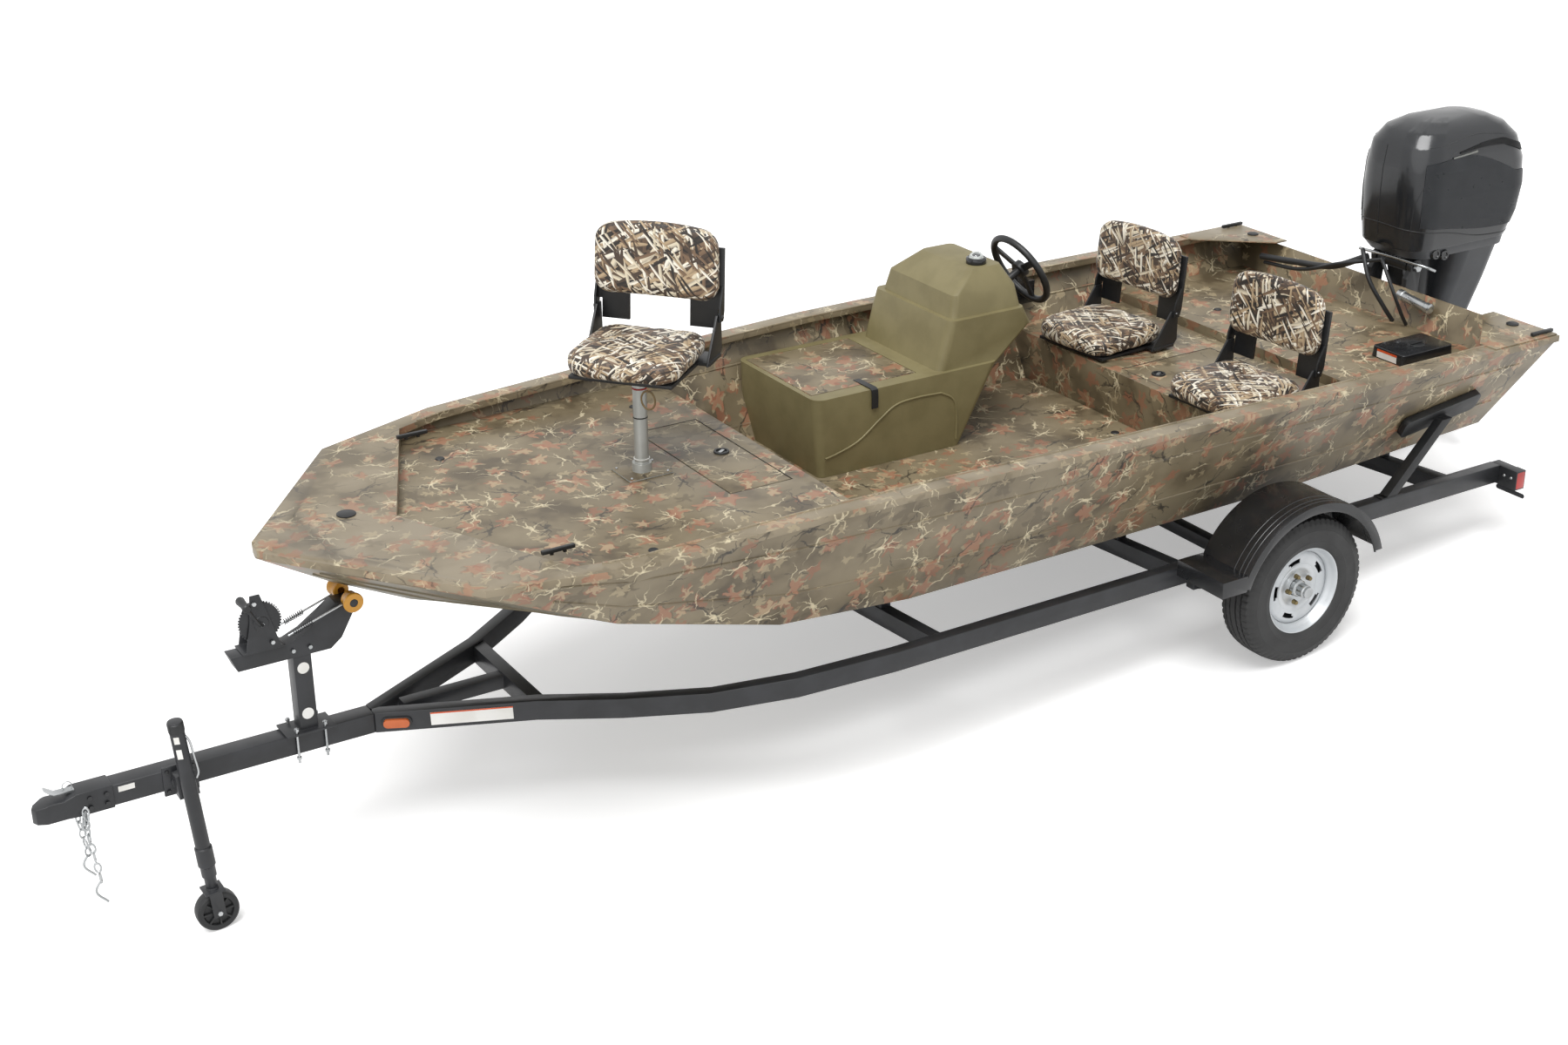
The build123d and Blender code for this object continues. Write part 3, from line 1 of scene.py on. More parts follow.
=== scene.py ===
import json
import logging
import math
from dataclasses import dataclass, field
from enum import Enum
from typing import Any, Callable, Iterable, Iterator, Sequence

import bmesh
import bpy
from mathutils import Matrix, Vector
from mathutils.bvhtree import BVHTree


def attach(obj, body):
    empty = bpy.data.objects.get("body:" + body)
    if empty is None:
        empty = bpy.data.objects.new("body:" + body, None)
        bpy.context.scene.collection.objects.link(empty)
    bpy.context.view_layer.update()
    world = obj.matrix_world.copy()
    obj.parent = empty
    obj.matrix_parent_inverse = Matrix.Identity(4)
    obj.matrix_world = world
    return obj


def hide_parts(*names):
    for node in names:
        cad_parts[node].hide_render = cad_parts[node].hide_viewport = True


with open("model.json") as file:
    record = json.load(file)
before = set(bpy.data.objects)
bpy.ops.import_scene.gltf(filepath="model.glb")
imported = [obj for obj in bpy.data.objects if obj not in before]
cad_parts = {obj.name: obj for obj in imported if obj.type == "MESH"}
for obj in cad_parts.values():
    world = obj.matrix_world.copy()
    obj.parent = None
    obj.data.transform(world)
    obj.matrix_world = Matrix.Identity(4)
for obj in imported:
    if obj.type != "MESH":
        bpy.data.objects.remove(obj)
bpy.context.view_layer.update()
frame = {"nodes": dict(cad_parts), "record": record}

log = logging.getLogger("jon_boat")
Object = bpy.types.Object
Material = bpy.types.Material
Mesh = bpy.types.Mesh
Tree = bpy.types.NodeTree
Node = bpy.types.Node
Shape = bmesh.types.BMesh
Point = Sequence[float]
Inputs = dict[Any, Any] | Sequence[Any]
SIDES = ((1, "port"), (-1, "starboard"))
MM = 0.001
MATH = "ShaderNodeMath"
VECTOR = "ShaderNodeVectorMath"
MIX = "ShaderNodeMix"
RAMP = "ShaderNodeMapRange"
NOISE = "ShaderNodeTexNoise"


def linear(code: str) -> tuple[float, float, float, float]:
    """Turns an sRGB hex code into linear light.

    Args:
        code: Six hex digits, red first.

    Returns:
        The linear colour, opaque.
    """
    parts = []
    for start in (0, 2, 4):
        level = int(code[start:start + 2], 16) / 255.0
        parts.append(level / 12.92 if level <= 0.04045 else ((level + 0.055) / 1.055) ** 2.4)
    return (parts[0], parts[1], parts[2], 1.0)


@dataclass
class Graph:
    """A node tree that takes nodes with their settings and links."""

    own: Tree

    def add(self, kind: str, inputs: Inputs = (), **settings: Any) -> Node:
        """Adds a node with its settings and its inputs, linked or set.

        Args:
            kind: Blender's name of the node type.
            inputs: Values, sockets or nodes (their first output), in order or by input name or number.
            settings: Properties of the node.

        Returns:
            The new node.
        """
        node = self.own.nodes.new(kind)
        for key, value in settings.items():
            setattr(node, key, value)
        self.feed(node, inputs)
        return node

    def feed(self, node: Node, inputs: Inputs) -> None:
        """Links or sets a node's inputs.

        Args:
            node: The node.
            inputs: As add() takes them.
        """
        for key, value in (inputs.items() if isinstance(inputs, dict) else enumerate(inputs)):
            if isinstance(value, Node):
                value = value.outputs[2 if value.bl_idname == MIX and value.data_type == "RGBA" else 0]
            if isinstance(value, bpy.types.NodeSocket):
                self.own.links.new(value, node.inputs[key])
            else:
                node.inputs[key].default_value = value


def new_material(name: str) -> tuple[Material, Graph, Node]:
    """Makes a material with one Principled shader.

    Args:
        name: The finish's name.

    Returns:
        The material, its tree and its shader.
    """
    material = bpy.data.materials.new(name)
    material.use_nodes = True
    tree = Graph(material.node_tree)
    tree.own.nodes.clear()
    shader = tree.add("ShaderNodeBsdfPrincipled")
    tree.add("ShaderNodeOutputMaterial", (shader,))
    return material, tree, shader


@dataclass(frozen=True)
class Coating:
    """A plain coat, moulding or metal with a fine grain and slight variation over its surface.

    The grain is drawn about twice as coarse as the real one, so that it shows at this distance.
    """

    name: str
    code: str
    shade: str
    roughness: float
    metallic: float = 0.0
    grain_mm: float = 3.0
    relief_mm: float = 0.05
    patch_mm: float = 120.0
    coat: float = 0.0

    def build(self) -> Material:
        """Makes the material.

        Returns:
            The material.
        """
        material, tree, shader = new_material(self.name)
        place = tree.add("ShaderNodeTexCoord").outputs["Object"]
        cloud = tree.add(NOISE, {"Vector": place, "Scale": 1000.0 / self.patch_mm, "Detail": 4.0})
        patch = tree.add(RAMP, {"Value": cloud, "From Min": 0.35, "From Max": 0.7},
                         interpolation_type="SMOOTHSTEP")
        colour = tree.add(MIX, {0: patch, 6: linear(self.code), 7: linear(self.shade)}, data_type="RGBA")
        wear = tree.add(NOISE, {"Vector": place, "Scale": 2500.0 / self.patch_mm, "Detail": 3.0})
        rough = tree.add(MATH, (wear, 0.14, self.roughness - 0.07), operation="MULTIPLY_ADD")
        grain = tree.add(NOISE, {"Vector": place, "Scale": 1000.0 / self.grain_mm, "Detail": 2.0})
        relief = tree.add("ShaderNodeBump",
                          {"Strength": 0.5, "Distance": self.relief_mm * MM, "Height": grain})
        tree.feed(shader, {"Base Color": colour, "Roughness": rough, "Normal": relief,
                           "Metallic": self.metallic, "Coat Weight": self.coat, "Coat Roughness": 0.08})
        return material


@dataclass(frozen=True)
class LeafPrint:
    """Woodland print sprayed on aluminium sheet: soft leaves and forked twigs on olive taupe, satin.

    The motifs are a generic five-point leaf and a forked twig, 70 to 230 mm, as they are at life size.
    """

    name: str
    ground: str = "72664f"
    ground_light: str = "83775f"
    ground_dark: str = "564b38"
    under: str = "5a5138"
    rust: str = "9a5a42"
    cream: str = "bfae8b"
    twig_dark: str = "2c2720"
    twig_pale: str = "d6c9a8"
    strength: float = 1.0
    roughness: float = 0.42
    bend: float = 1.1

    def flat(self, tree: Graph) -> tuple[Node, Node]:
        """Lays the piece's point flat along the face it is on, so that the print runs square to the sheet.

        Args:
            tree: The material's tree.

        Returns:
            A vector whose X and Y lie in the sheet, in metres, and the split normal.
        """
        place = tree.add("ShaderNodeTexCoord")
        at = tree.add("ShaderNodeSeparateXYZ", (place.outputs["Object"],))
        facing = tree.add("ShaderNodeSeparateXYZ", (place.outputs["Normal"],))
        level = tree.add(MATH, (facing.outputs[2],), operation="ABSOLUTE")
        ahead = tree.add(MATH, (facing.outputs[0],), operation="ABSOLUTE")
        is_level = tree.add(MATH, (level, 0.62), operation="GREATER_THAN")
        is_ahead = tree.add(MATH, (ahead, 0.72), operation="GREATER_THAN")
        across = tree.add("ShaderNodeCombineXYZ", (at.outputs[0], at.outputs[1]))
        side = tree.add("ShaderNodeCombineXYZ", (at.outputs[0], at.outputs[2]))
        front = tree.add("ShaderNodeCombineXYZ", (at.outputs[1], at.outputs[2]))
        upright = tree.add(MIX, {0: is_ahead, 4: side, 5: front}, data_type="VECTOR")
        chosen = tree.add(MIX, {0: is_level, 4: upright.outputs[1], 5: across}, data_type="VECTOR")
        drift = tree.add(NOISE, {"Vector": chosen.outputs[1], "Scale": 24.0, "Detail": 3.0})
        centred = tree.add(VECTOR, (drift.outputs[1], (0.5, 0.5, 0.5)), operation="SUBTRACT")
        warped = tree.add(VECTOR, (centred, (0.06, 0.06, 0.0), chosen.outputs[1]),
                          operation="MULTIPLY_ADD")
        return warped, facing

    def cell(self, tree: Graph, point: Node, pitch_mm: float, seed: float) -> tuple[Any, Any, Any, Any]:
        """Scatters cells over the sheet and turns each one its own way.

        Args:
            tree: The material's tree.
            point: The flat point.
            pitch_mm: Distance between cells.
            seed: Shift that makes this layer differ from the others.

        Returns:
            The turned x and y inside the cell, from about -0.5 to 0.5, and two random numbers.
        """
        scale = 1000.0 / pitch_mm
        scaled = tree.add(VECTOR, (point, (scale, scale, scale), (seed, seed * 1.7, 0.0)),
                          operation="MULTIPLY_ADD")
        cell = tree.add("ShaderNodeTexVoronoi", {"Vector": scaled, "Scale": 1.0, "Randomness": 0.85},
                        voronoi_dimensions="2D")
        offset = tree.add(VECTOR, (scaled, cell.outputs["Position"]), operation="SUBTRACT")
        random = tree.add("ShaderNodeSeparateColor", (cell.outputs["Color"],))
        angle = tree.add(MATH, (random.outputs[0], math.tau), operation="MULTIPLY")
        turned = tree.add("ShaderNodeVectorRotate", {"Vector": offset, "Angle": angle},
                          rotation_type="Z_AXIS")
        split = tree.add("ShaderNodeSeparateXYZ", (turned,))
        return split.outputs[0], split.outputs[1], random.outputs[1], random.outputs[2]

    def leaf(self, tree: Graph, cell: tuple[Any, Any, Any, Any], share: float, reach: float,
             shift: tuple[float, float] = (0.0, 0.0), soft: float = 0.035) -> Node:
        """Draws a five-point leaf in some of the cells.

        Args:
            tree: The material's tree.
            cell: What cell() gives.
            share: Share of the cells that hold a leaf.
            reach: Longest point, as a share of the pitch.
            shift: Place in the cell, as a share of the pitch.
            soft: Width of the sprayed edge, as a share of the pitch.

        Returns:
            A mask from 0 to 1.
        """
        x, y, chance, size = cell
        x = tree.add(MATH, (x, shift[0]), operation="ADD")
        y = tree.add(MATH, (y, 1.45, shift[1]), operation="MULTIPLY_ADD")
        square = tree.add(MATH, (x, x), operation="MULTIPLY")
        radius = tree.add(MATH, (tree.add(MATH, (y, y, square), operation="MULTIPLY_ADD"),),
                          operation="SQRT")
        angle = tree.add(MATH, (y, x), operation="ARCTAN2")
        wave = tree.add(MATH, (tree.add(MATH, (angle, 2.5), operation="MULTIPLY"),),
                        operation="SINE")
        sharp = tree.add(MATH, (tree.add(MATH, (wave,), operation="ABSOLUTE"), 1.4),
                         operation="POWER")
        lobe = tree.add(MATH, (sharp, -0.58, 1.0), operation="MULTIPLY_ADD")
        grown = tree.add(MATH, (size, 0.5 * reach, 0.62 * reach), operation="MULTIPLY_ADD")
        edge = tree.add(MATH, (lobe, grown), operation="MULTIPLY")
        inside = tree.add(MATH, (edge, radius), operation="SUBTRACT")
        mask = tree.add(RAMP, {"Value": inside, "From Min": -soft, "From Max": soft},
                        interpolation_type="SMOOTHSTEP")
        present = tree.add(MATH, (chance, share), operation="LESS_THAN")
        return tree.add(MATH, (mask, present), operation="MULTIPLY")

    def twig(self, tree: Graph, cell: tuple[Any, Any, Any, Any], share: float, width: float,
             turn: float = 0.0) -> Node:
        """Draws a bent, pointed twig in some of the cells.

        Args:
            tree: The material's tree.
            cell: What cell() gives.
            share: Share of the cells that hold a twig.
            width: Half its breadth at the middle, as a share of the pitch.
            turn: Angle from the cell's own, in radians, so that a second twig forks from the first.

        Returns:
            A mask from 0 to 1.
        """
        x, y, chance, size = cell
        joined = tree.add("ShaderNodeCombineXYZ", (x, y))
        turned = tree.add("ShaderNodeVectorRotate", {"Vector": joined, "Angle": turn},
                          rotation_type="Z_AXIS")
        at = tree.add("ShaderNodeSeparateXYZ", (turned,))
        square = tree.add(MATH, (at.outputs[0], at.outputs[0]), operation="MULTIPLY")
        curl = tree.add(MATH, (size, 2.0 * self.bend, -self.bend), operation="MULTIPLY_ADD")
        curved = tree.add(MATH, (square, curl), operation="MULTIPLY")
        off = tree.add(MATH, (tree.add(MATH, (at.outputs[1], curved), operation="SUBTRACT"),),
                       operation="ABSOLUTE")
        along = tree.add(MATH, (at.outputs[0],), operation="ABSOLUTE")
        taper = tree.add(MATH, (along, -2.3 * width, width), operation="MULTIPLY_ADD")
        inside = tree.add(MATH, (taper, off), operation="SUBTRACT")
        mask = tree.add(RAMP, {"Value": inside, "From Min": -0.006, "From Max": 0.008},
                        interpolation_type="SMOOTHSTEP")
        present = tree.add(MATH, (chance, share), operation="LESS_THAN")
        return tree.add(MATH, (mask, present), operation="MULTIPLY")

    def build(self) -> Material:
        """Makes the material.

        Returns:
            The material.
        """
        material, tree, shader = new_material(self.name)
        point, facing = self.flat(tree)
        place = tree.add("ShaderNodeTexCoord").outputs["Object"]
        cloud = tree.add(NOISE, {"Vector": place, "Scale": 4.5, "Detail": 3.0})
        light = tree.add(RAMP, {"Value": cloud, "From Min": 0.4, "From Max": 0.66},
                         interpolation_type="SMOOTHSTEP")
        dark = tree.add(RAMP, {"Value": cloud, "From Min": 0.46, "From Max": 0.32},
                        interpolation_type="SMOOTHSTEP")
        colour = tree.add(MIX, {0: light, 6: linear(self.ground), 7: linear(self.ground_light)},
                          data_type="RGBA")
        colour = tree.add(MIX, {0: dark, 6: colour, 7: linear(self.ground_dark)}, data_type="RGBA")
        wide, near, fine = (self.cell(tree, point, pitch, seed)
                            for pitch, seed in ((135.0, 3.1), (104.0, 17.7), (78.0, 29.3)))
        boughs, stems, straws = (self.cell(tree, point, pitch, seed)
                                 for pitch, seed in ((250.0, 41.4), (190.0, 58.2), (120.0, 73.6)))
        layers = (
            (self.leaf(tree, wide, 0.75, 0.56, (0.05, 0.03), 0.09), self.ground_dark, 0.6),
            (self.leaf(tree, wide, 0.50, 0.52), self.cream, 0.42),
            (self.leaf(tree, wide, 0.50, 0.46, (0.07, -0.06)), self.rust, 0.55),
            (self.leaf(tree, near, 0.42, 0.50), self.rust, 0.45),
            (self.leaf(tree, near, 0.26, 0.40, (-0.06, 0.07)), self.cream, 0.5),
            (self.leaf(tree, fine, 0.24, 0.42), self.cream, 0.4),
            (self.twig(tree, boughs, 0.85, 0.024), self.twig_dark, 0.75),
            (self.twig(tree, boughs, 0.65, 0.020, 0.6), self.twig_dark, 0.7),
            (self.twig(tree, stems, 0.85, 0.025), self.twig_pale, 0.72),
            (self.twig(tree, stems, 0.75, 0.022, -0.55), self.twig_pale, 0.7),
            (self.twig(tree, stems, 0.55, 0.020, 0.9), self.twig_pale, 0.6),
            (self.twig(tree, straws, 0.60, 0.030), self.twig_dark, 0.6),
            (self.twig(tree, straws, 0.45, 0.030, 1.2), self.twig_pale, 0.6),
        )
        for mask, code, weight in layers:
            share = tree.add(MATH, (mask, weight * self.strength), operation="MULTIPLY")
            colour = tree.add(MIX, {0: share, 6: colour, 7: linear(code)}, data_type="RGBA")
        below = tree.add(RAMP, {"Value": facing.outputs[2], "From Min": -0.72, "From Max": -0.84},
                         interpolation_type="SMOOTHSTEP")
        colour = tree.add(MIX, {0: below, 6: colour, 7: linear(self.under)}, data_type="RGBA")
        grain = tree.add(NOISE, {"Vector": place, "Scale": 380.0})
        relief = tree.add("ShaderNodeBump", {"Strength": 0.35, "Distance": 0.03 * MM, "Height": grain})
        tree.feed(shader, {"Base Color": colour, "Normal": relief, "Roughness": self.roughness,
                           "Coat Weight": 0.12, "Coat Roughness": 0.3})
        return material


@dataclass(frozen=True)
class ReedPrint:
    """Marsh print on coated cloth: overlapping dry reed blades in cream, straw and brown on near black.

    The blades are 120 to 170 mm long and 13 to 34 mm broad, in a generic layout of its own.
    """

    name: str
    colours: tuple[str, ...] = ("1f1a16", "43352a", "775f49", "b39c7c", "d9cdb4", "efe8d8")
    blades: tuple[tuple[float, float, float], ...] = (
        (0.5, 150.0, 34.0), (1.5, 170.0, 26.0), (-0.5, 130.0, 30.0), (1.0, 160.0, 20.0), (-1.15, 150.0, 24.0),
        (0.15, 140.0, 17.0), (2.1, 170.0, 18.0), (0.75, 120.0, 13.0))

    def shades(self, tree: Graph, value: Any) -> Node:
        """Picks a blade's colour by a random number.

        Args:
            tree: The material's tree.
            value: A number from 0 to 1.

        Returns:
            The ramp node.
        """
        ramp = tree.add("ShaderNodeValToRGB", (value,))
        ramp.color_ramp.interpolation = "CONSTANT"
        stops = ramp.color_ramp.elements
        stops[0].color = linear(self.colours[0])
        stops[1].color = linear(self.colours[-1])
        stops[1].position = 0.84
        for index, code in enumerate(self.colours[1:-1]):
            stops.new(0.24 + 0.15 * index).color = linear(code)
        return ramp

    def build(self) -> Material:
        """Makes the material.

        Returns:
            The material.
        """
        material, tree, shader = new_material(self.name)
        place = tree.add("ShaderNodeAttribute", attribute_name="weave").outputs["Vector"]
        murk = tree.add(NOISE, {"Vector": place, "Scale": 16.0, "Detail": 5.0, "Roughness": 0.7})
        colour = tree.add(MIX, {0: murk, 6: linear(self.colours[0]), 7: linear(self.colours[2])},
                          data_type="RGBA")
        for index, (tilt, length_mm, breadth_mm) in enumerate(self.blades):
            turned = tree.add("ShaderNodeVectorRotate", {"Vector": place, "Angle": tilt},
                              rotation_type="Z_AXIS")
            long = tree.add(VECTOR, (turned, (1000.0 / length_mm, 1000.0 / breadth_mm, 0.0),
                                     (7.3 * index, 3.9 * index, 0.0)), operation="MULTIPLY_ADD")
            cell = tree.add("ShaderNodeTexVoronoi", {"Vector": long, "Scale": 1.0, "Randomness": 1.0},
                            voronoi_dimensions="2D")
            random = tree.add("ShaderNodeSeparateColor", (cell.outputs["Color"],))
            offset = tree.add(VECTOR, (long, cell.outputs["Position"]), operation="SUBTRACT")
            at = tree.add("ShaderNodeSeparateXYZ", (offset,))
            square = tree.add(MATH, (at.outputs[0], at.outputs[0]), operation="MULTIPLY")
            lean = tree.add(MATH, (random.outputs[1], 3.0, -1.5), operation="MULTIPLY_ADD")
            skewed = tree.add(MATH, (at.outputs[0], lean, at.outputs[1]), operation="MULTIPLY_ADD")
            bowed = tree.add(MATH, (square, lean, skewed), operation="MULTIPLY_ADD")
            off = tree.add(MATH, (bowed,), operation="ABSOLUTE")
            taper = tree.add(MATH, (square, -1.4, 0.40), operation="MULTIPLY_ADD")
            inside = tree.add(MATH, (taper, off), operation="SUBTRACT")
            form = tree.add(RAMP, {"Value": inside, "From Min": 0.0, "From Max": 0.05})
            mask = tree.add(MATH, (random.outputs[2], 0.72 - 0.03 * index), operation="LESS_THAN")
            blade = self.shades(tree, random.outputs[0])
            streak = tree.add(NOISE, {"Vector": tree.add(VECTOR, (long, (0.8, 5.0, 1.0)),
                                                         operation="MULTIPLY"), "Scale": 1.0})
            fold = tree.add(RAMP, {"Value": bowed, "From Min": -0.05, "From Max": 0.35, "To Max": 1.1})
            worn = tree.add(MATH, (fold, streak), operation="MULTIPLY")
            shaded = tree.add(MIX, {0: worn, 6: blade, 7: linear(self.colours[1])}, data_type="RGBA")
            share = tree.add(MATH, (mask, form), operation="MULTIPLY")
            colour = tree.add(MIX, {0: share, 6: colour, 7: shaded}, data_type="RGBA")
        weave = tree.add(NOISE, {"Vector": place, "Scale": 600.0, "Detail": 2.0})
        relief = tree.add("ShaderNodeBump", {"Strength": 0.4, "Distance": 0.12 * MM, "Height": weave})
        tree.feed(shader, {"Base Color": colour, "Normal": relief, "Roughness": 0.5, "Sheen Weight": 0.1})
        return material


@dataclass(frozen=True)
class Clear:
    """Clear moulded acrylic: a glossy dome that shows what is under it."""

    name: str

    def build(self) -> Material:
        """Makes the material.

        Returns:
            The material.
        """
        material, tree, shader = new_material(self.name)
        tree.feed(shader, {"Base Color": linear("eef2f4"), "Roughness": 0.04, "Transmission Weight": 0.9,
                           "IOR": 1.49})
        return material


class Finish(Enum):
    """Every finish on the boat and its trailer, named for what the real one is."""

    # Print sprayed on aluminium sheet: satin, so the leaves read flat under a soft sheen.
    LEAF_SHEET = LeafPrint("leaf_print_sheet")
    # The same print on the pressed caps: paler, with weaker motifs.
    LEAF_CAP = LeafPrint("leaf_print_cap", ground="7d715a", ground_light="8d816b", ground_dark="655a45",
                         strength=0.8)
    # Printed, coated woven cloth: matt, with a fine tooth.
    REED_CLOTH = ReedPrint("reed_print_cloth")
    # Woven strap: dull and coarse.
    WEBBING = Coating("tan_webbing", "84704f", "6b5a3e", 0.8, grain_mm=1.5, relief_mm=0.3)
    # Rotomoulded polyethylene: even and slightly pebbled, half matt.
    OLIVE_MOULDING = Coating("rotomoulded_olive", "7f7653", "756c4a", 0.5, grain_mm=2.2, relief_mm=0.12)
    # Brushed enamel: half matt.
    OLIVE_PAINT = Coating("olive_enamel", "6c624a", "5f5641", 0.45)
    # Powder coat on steel: even half gloss with a fine orange peel.
    BLACK_POWDER = Coating("black_powder_coat", "242527", "2d2e31", 0.38, grain_mm=1.6, relief_mm=0.06)
    # Moulded plastic: broad, soft highlights.
    BLACK_MOULDING = Coating("black_moulding", "191a1b", "222324", 0.45, grain_mm=1.2, relief_mm=0.05)
    # Thermoformed shell with a clear skin: smooth, with narrow highlights.
    BLACK_GLOSS = Coating("black_gloss_shell", "17181a", "1d1e20", 0.25, relief_mm=0.01, coat=0.3)
    # Vulcanised rubber: charcoal and matt.
    TYRE = Coating("vulcanised_rubber", "262626", "303030", 0.62, grain_mm=2.0, relief_mm=0.06)
    # Sprayed flake enamel: bright and grainy, not a mirror.
    SILVER_WHEEL = Coating("silver_wheel_enamel", "bfc3c6", "cfd2d4", 0.34, metallic=0.35, grain_mm=6.0)
    # Zinc plate on steel: bright and cool.
    ZINC = Coating("zinc_plate", "c2c4c5", "a9acad", 0.28, metallic=0.95, grain_mm=2.0, relief_mm=0.02)
    # Yellow passivated zinc plate: dull gold.
    BRASS_ZINC = Coating("yellow_zinc_plate", "8c7c55", "6d6147", 0.35, metallic=0.9, grain_mm=2.0)
    # Sprayed and lacquered cowl: near black, with long narrow highlights.
    COWL = Coating("charcoal_gloss", "1c1e21", "202225", 0.24, coat=0.3, grain_mm=0.8, relief_mm=0.01)
    # The cowl's side panels: the same lacquer, a shade lighter.
    COWL_SIDE = Coating("charcoal_side_panel", "36393d", "3b3e42", 0.3, coat=0.2, grain_mm=0.8,
                        relief_mm=0.01)
    # Painted die casting: half gloss with a faint grain.
    MOTOR_CASTING = Coating("charcoal_casting", "2b2d31", "323539", 0.36, grain_mm=1.5)
    # Anodised tube: pale, soft and even.
    PEWTER_POST = Coating("anodised_post", "a3a49f", "b0b1ac", 0.36, metallic=0.45)
    # Printed tape: flat red.
    RED_BAND = Coating("red_band", "b03030", "a02828", 0.4)
    # Moulded nylon: clean white, slightly waxy.
    WHITE_RING = Coating("white_nylon", "e3e3de", "d8d8d2", 0.4)
    # Needled carpet: dark, with no highlight.
    CARPET = Coating("bunk_carpet", "1f2022", "2b2c2e", 0.95, grain_mm=1.5, relief_mm=0.6)
    # Cast urethane: smooth honey yellow.
    AMBER_ROLLER = Coating("amber_urethane", "d69a35", "c4862a", 0.32)
    # Moulded lenses: deep colour under a glossy skin.
    AMBER_LENS = Coating("amber_lens", "c9642a", "b4541f", 0.15, coat=0.4)
    RED_LENS = Coating("red_lens", "b52a24", "9c201c", 0.15, coat=0.4)
    # Printed film: flat, blank.
    PAPER = Coating("blank_label", "e9e8e4", "dedcd6", 0.5, grain_mm=5.0, relief_mm=0.01)
    ORANGE_STRIP = Coating("orange_strip", "d8551d", "cc4c18", 0.5, grain_mm=5.0, relief_mm=0.01)
    # Bare casting: grey and rough.
    IRON = Coating("cast_block", "55575a", "46484b", 0.6)
    # Moulded acrylic: clear and sharp.
    DOME = Clear("clear_acrylic")

    def material(self) -> Material:
        """Gives the finish's material, made once."""
        return bpy.data.materials.get(self.value.name) or self.value.build()


BODY_OF = {node: body for body, nodes in frame["record"]["behaviour"]["bodies"].items() for node in nodes}
BOAT = "trailer_and_boat"


@dataclass
class Stance:
    """How the boat's own frame stands: nose-up on its jack, with the box's centre at the origin."""

    pitch: float = math.radians(4.535)
    setback: float = 1.209
    axle: float = 0.3035

    def matrix(self) -> Matrix:
        """Gives the boat frame's place in the row frame."""
        return (Matrix.Translation((-self.setback, 0, self.axle)) @ Matrix.Rotation(-self.pitch, 4, "Y")
                @ Matrix.Translation((0, 0, -self.axle)))


PARKED = Stance().matrix()
UPRIGHT = Matrix.Translation((-Stance().setback, 0, 0))


def finish_piece(name: str, mesh: Mesh, finish: Finish, body: str, crease: float = 35.0) -> Object:
    """Makes an object of a mesh that is already in place, dresses it and lets it ride.

    Args:
        name: The piece's name.
        mesh: Its mesh, in the row frame.
        finish: Its finish.
        body: The CAD body it rides on.
        crease: Angle in degrees above which an edge is shaded sharp.

    Returns:
        The object.
    """
    mesh.materials.clear()
    mesh.materials.append(finish.material())
    mesh.shade_smooth()
    mesh.set_sharp_from_angle(angle=math.radians(crease))
    piece = bpy.data.objects.new(name, mesh)
    bpy.context.scene.collection.objects.link(piece)
    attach(piece, body)
    return piece


def make_piece(name: str, shape: Shape, finish: Finish, body: str = BOAT,
               place: Matrix = PARKED, crease: float = 35.0) -> Object:
    """Makes a piece of a shape drawn in its own frame.

    Args:
        name: The piece's name.
        shape: Its mesh, freed here.
        finish: Its finish.
        body: The CAD body it rides on.
        place: Where its own frame stands in the row frame.
        crease: Angle in degrees above which an edge is shaded sharp.

    Returns:
        The object.
    """
    mesh = bpy.data.meshes.new(name)
    shape.to_mesh(mesh)
    shape.free()
    mesh.transform(place)
    return finish_piece(name, mesh, finish, body, crease)


def dressed(node: str, finish: Finish, edge_mm: float = 1.5, segments: int = 2,
            crease: float = 34.0) -> Object:
    """Rounds the edges of a copy of a CAD node, dresses it and lets it stand for the node.

    Args:
        node: The CAD node.
        finish: Its finish.
        edge_mm: Radius of its edges.
        segments: Faces across a rounded edge.
        crease: Angle in degrees above which an edge counts as one.

    Returns:
        The new piece.
    """
    shape = bmesh.new()
    shape.from_mesh(frame["nodes"][node].data)
    bmesh.ops.remove_doubles(shape, verts=shape.verts, dist=2e-5)
    bmesh.ops.dissolve_limit(shape, angle_limit=math.radians(0.5), verts=shape.verts, edges=shape.edges)
    edges = [e for e in shape.edges if e.is_manifold and e.calc_face_angle(0.0) > math.radians(crease)]
    if edge_mm > 0 and edges:
        bmesh.ops.bevel(shape, geom=edges, offset=edge_mm * MM, segments=segments, profile=0.5,
                        affect="EDGES", clamp_overlap=True)
    piece = make_piece(f"{node}_dressed", shape, finish, BODY_OF[node], Matrix.Identity(4))
    return stands_for(piece, node)


def stands_for(piece: Object, *nodes: str) -> Object:
    """Lets a piece stand for CAD nodes, which it hides."""
    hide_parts(*nodes)
    return piece


def lathe(profile: Sequence[tuple[float, float]], place: Matrix, segments: int = 48,
          shape: Shape | None = None) -> Shape:
    """Turns a profile about the Z axis of a frame.

    Args:
        profile: Radius and height pairs, in order.
        place: Where the turned form stands.
        segments: Faces round it.
        shape: The mesh it is added to, or nothing for a new one.

    Returns:
        The mesh.
    """
    shape = shape or bmesh.new()
    rings = []
    for radius, height in profile:
        rings.append([shape.verts.new(place @ Vector((radius * math.cos(math.tau * step / segments),
                                                      radius * math.sin(math.tau * step / segments), height)))
                      for step in range(segments)])
    for low, high in zip(rings, rings[1:]):
        for step in range(segments):
            after = (step + 1) % segments
            shape.faces.new((low[step], low[after], high[after], high[step]))
    bmesh.ops.remove_doubles(shape, verts=shape.verts, dist=1e-6)
    bmesh.ops.recalc_face_normals(shape, faces=shape.faces)
    return shape


